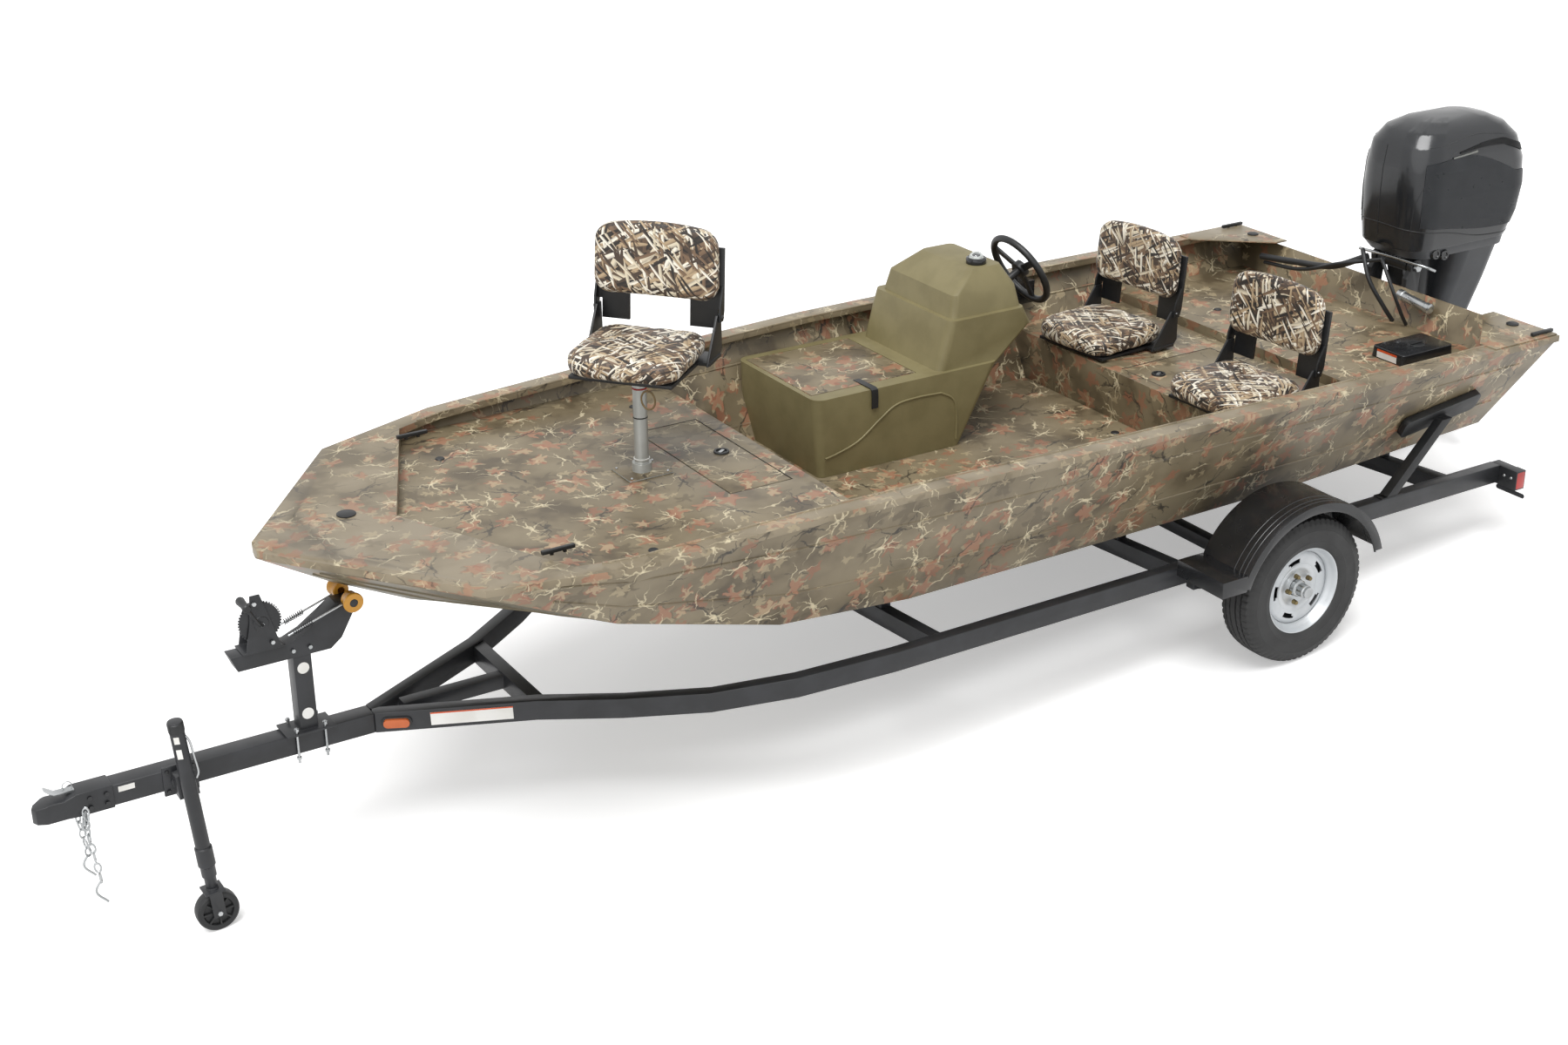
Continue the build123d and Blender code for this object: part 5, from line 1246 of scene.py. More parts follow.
@dataclass
class Upholstery:
    """Swells the seat's and the back's foam in cloth, once for all three seats."""

    voxel: float = 0.006
    pressure: float = 4.0
    frames: int = 20

    def foam(self, size: Point, middle: Point, corner: float, edge: float,
             bend: Callable[[Vector], Vector]) -> Mesh:
        """Makes the foam block that a cover is swollen from.

        Args:
            size: Its size.
            middle: Its middle.
            corner: Radius of the corners seen from its face.
            edge: Radius of its other edges.
            bend: Moves a point of the block to its place in the curved form.

        Returns:
            The mesh.
        """
        shape = bmesh.new()
        bmesh.ops.create_cube(shape, size=1.0)
        bmesh.ops.scale(shape, vec=size, verts=shape.verts)
        thin = min(range(3), key=lambda axis: size[axis])
        upright = [e for e in shape.edges
                   if abs((e.verts[0].co - e.verts[1].co).normalized()[thin]) > 0.9]
        bmesh.ops.bevel(shape, geom=upright, offset=corner, segments=7, profile=0.5, affect="EDGES")
        rim = [e for e in shape.edges if e.is_manifold and e.calc_face_angle(0.0) > math.radians(60)]
        bmesh.ops.bevel(shape, geom=rim, offset=edge, segments=4, profile=0.5, affect="EDGES")
        mesh = bpy.data.meshes.new("foam")
        shape.to_mesh(mesh)
        shape.free()
        worker = worker_on(mesh)
        remesh = worker.modifiers.new("even", "REMESH")
        remesh.mode = "VOXEL"
        remesh.voxel_size = self.voxel
        even = result_of(worker)
        for vertex in even.vertices:
            vertex.co = bend(vertex.co.copy()) + Vector(middle)
        return even

    def swell(self, mesh: Mesh, cap: float) -> Mesh:
        """Swells a foam block as cloth under pressure and smooths it.

        Args:
            mesh: The block.
            cap: How far a point may move.

        Returns:
            The swollen mesh.
        """
        start = [vertex.co.copy() for vertex in mesh.vertices]
        worker = worker_on(mesh)
        cloth = worker.modifiers.new("cover", "CLOTH")
        cloth.settings.use_pressure = True
        cloth.settings.uniform_pressure_force = self.pressure
        cloth.settings.effector_weights.gravity = 0.0
        scene = bpy.context.scene
        for number in range(1, self.frames + 1):
            scene.frame_set(number)
        swollen = result_of(worker)
        scene.frame_set(1)
        for vertex, origin in zip(swollen.vertices, start):
            moved = vertex.co - origin
            if moved.length > cap:
                vertex.co = origin + moved.normalized() * cap
        worker = worker_on(swollen)
        smooth = worker.modifiers.new("smooth", "SUBSURF")
        smooth.levels = smooth.render_levels = 1
        return result_of(worker)

    def build(self, seat: Seat) -> tuple[Mesh, Mesh]:
        """Makes the two cushions of a seat.

        Args:
            seat: The seat that gives the sizes.

        Returns:
            The seat cushion and the back cushion, each in its own frame.
        """
        slim = 2 * seat.swell_mm * MM
        half = seat.width / 2

        def waterfall(point: Vector) -> Vector:
            """Rounds the cushion's front, narrows its rear and crowns its top."""
            share = point.y / half
            ahead = point.x / (seat.depth / 2)
            point.x -= 0.022 * share * share * max(ahead, 0.0)
            point.y *= 1.0 - 0.05 * max(-ahead, 0.0)
            point.z -= 0.016 * max(ahead, 0.0) ** 3
            return point

        def crowned(point: Vector) -> Vector:
            """Arches the back's top and narrows its foot."""
            share = point.y / half
            rise = point.z / (seat.pad_height / 2)
            point.z -= 0.020 * share * share * max(rise, 0.0)
            point.y *= 1.0 - 0.03 * max(rise, 0.0)
            point.x += 0.006 * share * share
            return point

        base = self.foam((seat.depth - slim + 0.012, seat.width - slim + 0.010, seat.thick - slim),
                         (0.010, 0.0, seat.pan + seat.thick / 2 + 0.004), 0.080, 0.026, waterfall)
        back = self.foam((seat.pad_thick - slim + 0.008, seat.pad_breadth - slim,
                          seat.pad_height - slim + 0.020),
                         (seat.pad_back + seat.pad_thick / 2, 0.0, seat.pad_low + seat.pad_height / 2),
                         0.062, 0.016, crowned)
        return self.swell(base, seat.swell_mm * MM), self.swell(back, seat.swell_mm * MM * 0.8)


@dataclass
class Pedestal:
    """The bow seat's post with its collars, bands and base screws."""

    x: float = 2.306
    deck: float = 0.9415
    radius: float = 0.026
    rise: float = 0.402
    base: tuple[float, float] = (0.178, 0.150)

    def build(self) -> Iterator[Object]:
        """Builds the post and what is on it.

        Returns:
            The pieces, as each is made.
        """
        yield dressed("pedestal", Finish.PEWTER_POST, 1.5, 2)
        base = plate(oblong(self.base[0], self.base[1], 0.006), 0.0018,
                     stand_at((self.x, 0, self.deck + 0.0052)), 0.5)
        yield make_piece("pedestal_base_skin", base, Finish.LEAF_SHEET)
        for label, height, tall, extra, finish in (
                ("foot_collar", 0.055, 0.004, 0.004, Finish.WHITE_RING),
                ("top_band", self.rise - 0.075, 0.008, 0.0012, Finish.RED_BAND),
                ("snap", 0.215, 0.006, 0.0012, Finish.BLACK_MOULDING)):
            low, out = height - tall / 2, self.radius + extra
            ring = lathe(((self.radius - 0.002, low), (out, low + 0.001), (out, low + tall - 0.001),
                          (self.radius - 0.002, low + tall)), stand_at((self.x, 0, self.deck)), 40)
            yield make_piece(f"post_{label}", ring, finish)
        spots = [((self.x + sx * 0.074, sy * 0.060, self.deck + 0.0085), (0, 0, 1))
                 for sx in (-1, 1) for sy in (-1, 1)]
        yield heads("base_screws", spots, 5.0, 3.0)


@dataclass
class Outboard:
    """The outboard: cowl with its seams and intake, midsection, lower unit, bracket and hoses."""

    middle_x: float = -1.732
    seam_mm: float = 2.2
    cowl_skin: Skin = field(default_factory=lambda: Skin("cowl"))
    link: tuple[Point, ...] = ((-1.455, -0.18, 1.125), (-1.462, 0.02, 1.132), (-1.470, 0.13, 1.130),
                               (-1.500, 0.185, 1.118), (-1.540, 0.190, 1.100))
    hoses: tuple[tuple[float, tuple[Point, ...]], ...] = (
        (15.0, ((-1.325, -0.66, 0.985), (-1.330, -0.46, 1.010), (-1.335, -0.22, 1.050),
                (-1.395, -0.07, 1.125))),
        (9.0, ((-1.330, -0.64, 0.960), (-1.325, -0.40, 0.990), (-1.320, -0.16, 1.080),
               (-1.400, 0.01, 1.130))),
        (10.0, ((-1.395, -0.10, 1.130), (-1.330, -0.04, 1.165), (-1.300, 0.04, 1.060),
                (-1.340, 0.10, 0.950), (-1.385, 0.12, 0.880))),
        (8.0, ((-1.398, 0.02, 1.132), (-1.330, 0.08, 1.150), (-1.310, 0.17, 1.050),
               (-1.345, 0.20, 0.945), (-1.385, 0.20, 0.885))))

    def skin(self, height: float, turn: float, out: float = 0.0) -> Vector:
        """Gives a point on the cowl's skin.

        Args:
            height: Its height in the boat's frame.
            turn: Its direction from the cowl's middle, in radians from straight ahead to port.
            out: Distance outside the skin.

        Returns:
            The point in the boat's frame.
        """
        way = Vector((math.cos(turn), math.sin(turn), 0.0))
        return self.cowl_skin.hit(Vector((self.middle_x, 0.0, height)) + way, -way, out)

    def patch(self, turns: tuple[float, float], low: Callable[[float], float],
              high: Callable[[float], float], out: float, steps: int, rows: int) -> Shape:
        """Lays a panel on the cowl's skin.

        Args:
            turns: Its ends, in radians.
            low: Its lower edge by the share of its run.
            high: Its upper edge by the share of its run.
            out: Its height above the skin.
            steps: Faces along it.
            rows: Faces up it.

        Returns:
            The panel's mesh.
        """
        shape = bmesh.new()
        grid = []
        for share in spread(0.0, 1.0, steps):
            turn = turns[0] + (turns[1] - turns[0]) * share
            grid.append([shape.verts.new(self.skin(height, turn, out))
                         for height in spread(low(share), high(share), rows)])
        for near, far in zip(grid, grid[1:]):
            for r in range(rows):
                shape.faces.new((near[r], far[r], far[r + 1], near[r + 1]))
        middle = Vector((self.middle_x, 0, 1.45))
        for face in shape.faces:
            if face.normal.dot(face.calc_center_median() - middle) < 0:
                face.normal_flip()
        bmesh.ops.solidify(shape, geom=shape.faces[:], thickness=0.003)
        return shape

    def build(self) -> Iterator[Object]:
        """Builds the motor and its rigging.

        Returns:
            The pieces, as each is made.
        """
        yield from [dressed("cowl", Finish.COWL, 9.0, 3, 48.0),
                    dressed("midsection", Finish.MOTOR_CASTING, 6.0, 3, 40.0),
                    dressed("lower_unit", Finish.MOTOR_CASTING, 3.0, 2),
                    dressed("propeller", Finish.MOTOR_CASTING, 0.8, 2),
                    dressed("clamp_bracket", Finish.BLACK_MOULDING, 3.0, 2),
                    dressed("swivel_bracket", Finish.BLACK_MOULDING, 3.0, 2),
                    dressed("power_head", Finish.IRON, 4.0, 2)]
        turns = [math.radians(angle) for angle in range(-172, 173, 4)]
        seam = [self.skin(1.212 + 0.085 * (0.5 + 0.5 * math.cos(turn)) ** 2, turn, 0.0005) for turn in turns]
        panels = (
            ("cowl_side_panel", (30, 152), lambda s: 1.250 + 0.055 * (1.0 - s) ** 2,
             lambda s: 1.545 + 0.062 * math.sin(math.pi * min(0.12 + s, 1.0)) ** 0.6 - 0.06 * s * s,
             0.0035, (56, 28), Finish.COWL_SIDE),
            ("cowl_intake", (58, 150), lambda s: 1.612 + 0.012 * math.sin(math.pi * s) - 0.20 * max(s - 0.78, 0.0),
             lambda s: 1.620 + 0.012 * math.sin(math.pi * s) + 0.026 * s - 0.20 * max(s - 0.78, 0.0),
             0.0038, (48, 8), Finish.BLACK_MOULDING),
            ("intake_lip", (50, 86), lambda s: 1.596 + 0.010 * s, lambda s: 1.602 + 0.014 * s,
             0.0045, (24, 4), Finish.PEWTER_POST))
        yield run("cowl_seam", seam, self.seam_mm, Finish.BLACK_MOULDING, "motor", sides=8,
                  closed=True)
        for side, label in SIDES:
            for name, ends, low, high, out, cells, finish in panels:
                span = (side * math.radians(ends[0]), side * math.radians(ends[1]))
                yield make_piece(f"{name}_{label}", self.patch(span, low, high, out, *cells), finish,
                                 "motor")
            crease = [self.skin(1.27 + 0.36 * s, side * math.radians(24 + 30 * s ** 3), 0.0005)
                      for s in spread(0.0, 1.0, 24)]
            yield run(f"cowl_crease_{label}", crease, 2.4, Finish.COWL, "motor", sides=8)
            crown = [self.skin(1.650 + 0.030 * math.sin(math.pi * s), side * math.radians(30 + 120 * s), 0.0005)
                     for s in spread(0.0, 1.0, 24)]
            yield run(f"crown_crease_{label}", crown, 2.0, Finish.COWL, "motor", sides=8)
        front = [self.skin(height, math.radians(-4), 0.0004) for height in spread(1.24, 1.64, 20)]
        yield run("cowl_front_seam", front, 1.6, Finish.BLACK_MOULDING, "motor", sides=8)
        fittings = bmesh.new()
        for x, z in ((-1.545, 1.172), (-1.600, 1.160)):
            for side in (1, -1):
                lathe(((0, 0.012), (0.012, 0.012), (0.014, 0.016), (0.022, 0.016), (0.025, 0.010),
                       (0.025, -0.02)), stand_at((x, side * 0.170, z), (0, side, 0)), 28, fittings)
        yield make_piece("tray_fittings", fittings, Finish.BLACK_GLOSS, "motor")
        yield run("steering_link", smooth_path(self.link), 7.0, Finish.ZINC, "motor_mount")
        spots = [((-1.500, side * 0.1215, 1.105), (0, side, 0)) for side in (1, -1)]
        yield heads("tilt_nuts", spots, 21.0, 14.0, Finish.ZINC, BOAT, PARKED, 6, 0.9)
        ram = lathe(((0, 0.0), (0.018, 0.0), (0.024, 0.006), (0.024, 0.030), (0.021, 0.034), (0.021, 0.165),
                     (0.024, 0.169), (0.024, 0.190), (0.016, 0.196), (0, 0.196)),
                    stand_at((-1.395, 0.130, 1.005), (0.02, 0.98, -0.10)), 28)
        yield make_piece("pale_ram", ram, Finish.ZINC)
        for number, (radius, knots) in enumerate(self.hoses):
            yield run(f"rigging_hose_{number}", smooth_path(knots, 12), radius, Finish.BLACK_MOULDING)


@dataclass
class Trailer:
    """The trailer's frame, axle, springs, bunks, coupler, labels, lamps, chains and bolts."""

    label_ends: tuple[Point, Point] = ((3.245, 0.1244, 0.2880), (2.985, 0.2524, 0.2970))
    label_drop: tuple[float, float] = (0.012, 0.062)
    marker: Point = (3.352, 0.0718, 0.2460)
    latch_x: float = 4.462
    chain_link: float = 0.0105
    chain_wire: float = 0.0032

    def build(self) -> Iterator[Object]:
        """Builds the frame and its fittings.

        Returns:
            The pieces, as each is made.
        """
        yield from [dressed(node, Finish.BLACK_POWDER, 3.0, 2)
                    for node in ("rail_port", "rail_starboard", "tongue", "cross_members")]
        yield from [dressed(node, Finish.BLACK_POWDER, 2.0, 2)
                    for node in ("coupler", "bunk_brackets", "axle", "springs")]
        yield from [dressed("bunks", Finish.CARPET, 6.0, 3), dressed("guides", Finish.BLACK_MOULDING, 6.0, 3),
                    dressed("lights", Finish.BLACK_POWDER, 2.0, 2)]
        for fit in (self.labels, self.coupler, self.chains, self.stern):
            yield from fit()

    def labels(self) -> Iterator[Object]:
        """Makes the blank labels and the amber marker lamps.

        Returns:
            The pieces, as each is made.
        """
        start, end = (Vector(p) for p in self.label_ends)
        along = (end - start).normalized()
        outward = Vector((along.y, -along.x, 0)).normalized()
        rail = Skin("rail_port")
        for name, (top, foot), lift, finish in (
                ("rail_label", self.label_drop, 0.0006, Finish.PAPER),
                ("rail_label_strip", (self.label_drop[0], self.label_drop[0] + 0.005), 0.0014,
                 Finish.ORANGE_STRIP)):
            middle = (start + end) / 2 - Vector((0, 0, (top + foot) / 2))
            base = rail.hit(middle + outward * 0.2, -outward, lift)
            turn = Matrix((along, outward.cross(along), outward)).transposed().to_4x4()
            sheet = plate(oblong((end - start).length, foot - top), 0.0005,
                          Matrix.Translation(base) @ turn, 0)
            yield make_piece(name, sheet, finish)
        for side, label in SIDES:
            x, y, z = self.marker
            out = Vector((0.4417, side * 0.8972, 0.0))
            turn = Matrix((Vector((out.y, -out.x, 0)), Vector((0, 0, 1)), out)).transposed().to_4x4()
            place = Matrix.Translation((x, side * y, z)) @ turn
            yield make_piece(f"marker_surround_{label}",
                             plate(oblong(0.108, 0.044, 0.021), 0.008, place, 2.0),
                             Finish.BLACK_MOULDING)
            yield make_piece(f"marker_lens_{label}",
                             plate(oblong(0.092, 0.032, 0.0155), 0.020, place, 5.0),
                             Finish.AMBER_LENS)

    def coupler(self) -> Iterator[Object]:
        """Makes the latch, its pin and the coupler's bolts.

        Returns:
            The pieces, as each is made.
        """
        lever = plate(((0, 0), (0.070, 0.004), (0.098, 0.030), (0.094, 0.036), (0.062, 0.014), (0, 0.012)),
                      0.026, stand_at((self.latch_x, 0.013, 0.282), (0, -1, 0)), 1.5)
        yield make_piece("coupler_latch", lever, Finish.ZINC)
        ring = [(self.latch_x + 0.020 + 0.016 * math.cos(a), 0.002, 0.306 + 0.016 * math.sin(a))
                for a in [math.tau * step / 24 for step in range(24)]]
        yield run("latch_pin_ring", ring, 1.8, Finish.ZINC, sides=8, closed=True)
        spots = [((x, side * 0.0425, z), (0, side, 0)) for x in (4.368, 4.424) for z in (0.262, 0.226)
                 for side in (1, -1)]
        yield heads("coupler_bolts", spots, 9.0, 7.0, Finish.BLACK_GLOSS, sides=6, crown=0.95)
        sticker = plate(oblong(0.055, 0.020), 0.0005, stand_at((4.300, 0.0384, 0.262), (0, 1, 0)), 0)
        yield make_piece("tongue_label", sticker, Finish.PAPER)

    def chains(self) -> Iterator[Object]:
        """Hangs the two safety chains with their hooks.

        Returns:
            The pieces, as each is made.
        """
        for side, label, reach in ((1, "port", 0.245), (-1, "starboard", 0.215)):
            top = Vector((4.445, side * 0.048, 0.214))
            path = smooth_path((top, top + Vector((0.006, side * 0.012, -0.06)),
                                top + Vector((-0.012, side * 0.020, -reach))), 24)
            pitch = self.chain_link * 2.3
            count = int(sum((b - a).length for a, b in zip(path, path[1:])) / pitch)
            mesh = bpy.data.meshes.new(f"chain_{label}_points")
            mesh.from_pydata([tuple(path[round(i * (len(path) - 1) / count)]) for i in range(count + 1)], [], [])
            turns = mesh.attributes.new("turn", "FLOAT_VECTOR", "POINT")
            for index in range(count + 1):
                place = min(round(index * (len(path) - 1) / count), len(path) - 2)
                along = (path[place + 1] - path[place]).normalized()
                turn = along.to_track_quat("X", "Z").to_matrix().to_4x4() @ Matrix.Rotation(
                    math.pi / 2 * (index % 2), 4, "X")
                turns.data[index].vector = turn.to_euler()
            yield grown(f"safety_chain_{label}", mesh, SetLinks(),
                        {"Width": self.chain_link, "Wire": self.chain_wire}, Finish.ZINC, BOAT, PARKED)
            end = path[-1]
            hook = [end + Vector((0.020 * math.sin(a), 0, -0.012 - 0.022 * a)) for a in
                    spread(0.0, 0.62 * math.tau, 24)]
            yield run(f"chain_hook_{label}", hook, 4.0, Finish.ZINC, sides=10)

    def stern(self) -> Iterator[Object]:
        """Makes the tail lamps' lenses, bolts and slotted plates.

        Returns:
            The pieces, as each is made.
        """
        spots = []
        for side, label in SIDES:
            lens = plate(oblong(0.046, 0.074, 0.006), 0.016,
                         stand_at((-1.357, side * 0.9275, 0.411), (0, side, 0)), 3.0)
            yield make_piece(f"tail_lens_{label}", lens, Finish.RED_LENS)
            spots += [((-1.3298, side * y, 0.418), (1, 0, 0)) for y in (0.878, 0.915)]
            strip = plate(oblong(0.150, 0.020, 0.009), 0.003,
                          stand_at((-1.336, side * 0.915, 0.358), (1, 0, 0)), 1.0)
            yield make_piece(f"plate_bar_{label}", strip, Finish.BLACK_POWDER)
        yield heads("tail_lamp_bolts", spots, 7.0, 5.0, sides=12, crown=0.7)


@dataclass
class Winch:
    """The winch on its stand with its gear, crank, bolts, strap rods and amber bow rollers."""

    seat: Point = (3.786, 0.0, 0.630)
    gear_rise: float = 0.104
    gear_radius: float = 0.071
    teeth: int = 44
    roller: Point = (3.472, 0.0, 0.746)
    arm_half: float = 0.034
    roller_radius: float = 0.036
    roller_width: float = 0.050
    u_bolts: tuple[float, float] = (3.603, 3.706)
    u_half: float = 0.0445

    def build(self) -> Iterator[Object]:
        """Builds the winch, its stand and the rollers.

        Returns:
            The pieces, as each is made.
        """
        yield from [dressed("winch_stand", Finish.BLACK_POWDER, 4.0, 2),
                    dressed("winch", Finish.BLACK_POWDER, 1.5, 2)]
        x, _, z = self.seat
        hub = Vector((x, 0.026, z + self.gear_rise))
        outs = [Vector((math.cos(turn), 0, math.sin(turn)))
                for turn in spread(0.0, math.tau, self.teeth)[:-1]]
        spots = [(hub + out * (self.gear_radius + 0.0010), out) for out in outs]
        yield heads("gear_teeth", spots, 4.6, 4.0, Finish.BLACK_POWDER, sides=4, crown=0.6)
        crank = smooth_path((hub + Vector((0, 0.030, 0)), hub + Vector((0.02, 0.052, 0.02)),
                             hub + Vector((0.05, 0.056, 0.075)), hub + Vector((0.075, 0.056, 0.120))))
        yield run("winch_crank", crank, 6.0, Finish.BLACK_POWDER)
        grip = lathe(((0, 0.0), (0.014, 0.0), (0.016, 0.006), (0.013, 0.040), (0.015, 0.075), (0.011, 0.080),
                      (0, 0.080)), stand_at(hub + Vector((0.075, 0.052, 0.120)), (0, 1, 0)), 24)
        yield make_piece("winch_grip", grip, Finish.BLACK_MOULDING)
        bolts = [((x + dx, 0.0475, z + dz), (0, 1, 0))
                 for dx, dz in ((0.0, 0.104), (0.020, 0.185), (-0.03, 0.03))]
        bolts += [((3.655 + dx, side * 0.036, 0.602), (0, side, 0)) for dx in (-0.03, 0.03) for side in (1, -1)]
        yield heads("winch_bolts", bolts, 8.0, 7.0, Finish.ZINC, sides=6, crown=0.95)
        for side, label in SIDES:
            foot = Vector((3.700, side * 0.047, 0.668))
            head = Vector((self.roller[0] + 0.03, side * 0.047, self.roller[2] - 0.012))
            yield run(f"strap_rod_{label}", (foot, head), 3.5, Finish.ZINC, sides=10)
            along = (head - foot).normalized()
            across = along.cross(Vector((0, 1, 0))).normalized()
            coil = [foot + along * (0.02 + 0.075 * s / 120) + 0.009 * (across * math.cos(s * 0.52)
                    + Vector((0, 1, 0)) * math.sin(s * 0.52)) for s in range(121)]
            yield run(f"rod_spring_{label}", coil, 1.6, Finish.BLACK_POWDER, sides=6)
            for end, at in zip(("aft", "front"), self.u_bolts):
                rod = [(at, side * self.u_half, z) for z in (0.312, 0.175)]
                yield run(f"u_bolt_{label}_{end}", rod, 4.5, Finish.ZINC, sides=10)
        nuts = [((at, side * self.u_half, z), (0, 0, 1)) for at in self.u_bolts for side in (1, -1)
                for z in (0.300, 0.190)]
        yield heads("u_bolt_nuts", nuts, 9.0, 9.0, Finish.ZINC, sides=6, crown=0.97)
        discs = bmesh.new()
        for height in (0.526, 0.350):
            lathe(((0, 0.0012), (0.021, 0.0012), (0.021, 0.0)), stand_at((3.655, 0.0322, height), (0, 1, 0)),
                  36, discs)
        yield make_piece("post_labels", discs, Finish.PAPER)
        yield self.rollers()
        bores = bmesh.new()
        for side in (1, -1):
            lathe(((0, 0.0012), (0.011, 0.0012), (0.014, 0.0), (0.014, -0.004)), stand_at(
                (self.roller[0], side * (self.arm_half + self.roller_width), self.roller[2]), (0, side, 0)),
                24, bores)
        yield make_piece("roller_pins", bores, Finish.BLACK_POWDER)

    def rollers(self) -> Object:
        """Turns the pair of flared urethane rollers that stand for the CAD ones."""
        shape = bmesh.new()
        for side in (1, -1):
            radius, width = self.roller_radius, self.roller_width
            lathe(((0.013, 0.0), (radius * 0.72, 0.0), (radius * 0.80, 0.003), (radius * 0.78, width * 0.35),
                   (radius * 0.86, width * 0.62), (radius, width * 0.80), (radius, width * 0.93),
                   (radius * 0.93, width), (0.015, width), (0.013, width * 0.9)),
                  stand_at((self.roller[0], side * (self.arm_half + 0.0005), self.roller[2]), (0, side, 0)),
                  44, shape)
        return stands_for(make_piece("bow_rollers_turned", shape, Finish.AMBER_ROLLER), "bow_rollers")


@dataclass
class Wheel:
    """A trailer wheel: ribbed tyre, silver five-window wheel, nuts and grease cap."""

    side: int
    label: str
    middle: float = 1.015
    axle: float = 0.3035
    tyre_radius: float = 0.3035
    tread_pitch: int = 64
    windows: int = 5
    lug_circle: float = 0.05715
    barrel: tuple[tuple[float, float], ...] = (
        (0.1775, 0.0700), (0.1740, 0.0690), (0.1700, 0.0620), (0.1655, 0.0540), (0.1630, 0.0480),
        (0.1560, 0.0420), (0.1515, 0.0330), (0.1500, 0.0200), (0.1500, -0.0250), (0.1600, -0.0450),
        (0.1690, -0.0540), (0.1770, -0.0690))
    disc: tuple[tuple[float, float], ...] = (
        (0.1495, 0.030), (0.142, 0.036), (0.135, 0.0385), (0.128, 0.0390), (0.118, 0.0390),
        (0.108, 0.0385), (0.102, 0.0370), (0.098, 0.0350), (0.094, 0.0360), (0.080, 0.0350),
        (0.074, 0.0300), (0.070, 0.0270), (0.050, 0.0260), (0.036, 0.0270))

    def place(self) -> Matrix:
        """Gives the wheel's frame, with Z outwards along its axle."""
        return PARKED @ stand_at((0, self.side * self.middle, self.axle), (0, self.side, 0))

    def tyre(self) -> Object:
        """Makes the tyre with its grooves, shoulder blocks and sidewall rings.

        Returns:
            The piece.
        """
        r = self.tyre_radius
        wall = [(0.170, -0.048), (0.1785, -0.070), (0.186, -0.078), (0.205, -0.086), (0.209, -0.0875),
                (0.213, -0.086), (0.235, -0.0885), (0.252, -0.0865), (0.256, -0.088), (0.260, -0.0855),
                (0.276, -0.081)]
        tread = [(r - 0.016, -0.073), (r - 0.0065, -0.067), (r - 0.004, -0.058), (r - 0.002, -0.044),
                 (r - 0.009, -0.043), (r - 0.009, -0.039), (r - 0.001, -0.038), (r - 0.0003, -0.018),
                 (r - 0.009, -0.017), (r - 0.009, -0.013), (r - 0.0002, -0.012), (r, 0.0)]
        profile = wall + tread + [(radius, -height) for radius, height in reversed(tread[:-1])]
        profile += [(radius, -height) for radius, height in reversed(wall)]
        shape = bmesh.new()
        segments = self.tread_pitch * 4
        rings = []
        for radius, height in profile:
            shoulder = 0.055 <= abs(height) <= 0.0775 and radius > r - 0.03
            rib = 0.015 < abs(height) < 0.050 and radius > r - 0.006
            ring = []
            for step in range(segments):
                cut = 0.0055 if shoulder and step % 4 == 0 else 0.002 if rib and step % 4 == 2 else 0.0
                turn = math.tau * step / segments + (0.25 * height if radius > r - 0.03 else 0.0)
                ring.append(shape.verts.new(((radius - cut) * math.cos(turn), (radius - cut) * math.sin(turn),
                                             height)))
            rings.append(ring)
        rings.append(rings[0])
        for low, high in zip(rings, rings[1:]):
            for step in range(segments):
                after = (step + 1) % segments
                shape.faces.new((low[step], low[after], high[after], high[step]))
        bmesh.ops.recalc_face_normals(shape, faces=shape.faces)
        piece = make_piece(f"tyre_{self.label}_ribbed", shape, Finish.TYRE, f"wheel_{self.label}",
                           self.place(), 32.0)
        return stands_for(piece, f"tyre_{self.label}")

    def rim(self) -> Object:
        """Makes the wheel's barrel and its disc with five windows.

        Returns:
            The piece.
        """
        shape = lathe(self.barrel, Matrix.Identity(4), 96)
        bmesh.ops.solidify(shape, geom=shape.faces[:], thickness=0.0025)
        segments = self.windows * 18
        face = bmesh.new()
        rings = [[face.verts.new((radius * math.cos(math.tau * step / segments),
                                  radius * math.sin(math.tau * step / segments), height))
                  for step in range(segments)] for radius, height in self.disc]
        for number, (low, high) in enumerate(zip(rings, rings[1:])):
            for step in range(segments):
                spot = step % 18
                if number in (3, 4) and 5 <= spot <= 10 + (number == 3):
                    continue
                after = (step + 1) % segments
                face.faces.new((low[step], low[after], high[after], high[step]))
        bmesh.ops.recalc_face_normals(face, faces=face.faces)
        bmesh.ops.solidify(face, geom=face.faces[:], thickness=0.0035)
        mesh = bpy.data.meshes.new("disc_work")
        face.to_mesh(mesh)
        face.free()
        shape.from_mesh(mesh)
        bpy.data.meshes.remove(mesh)
        piece = make_piece(f"rim_{self.label}_pressed", shape, Finish.SILVER_WHEEL, f"wheel_{self.label}",
                           self.place(), 40.0)
        return stands_for(piece, f"rim_{self.label}")

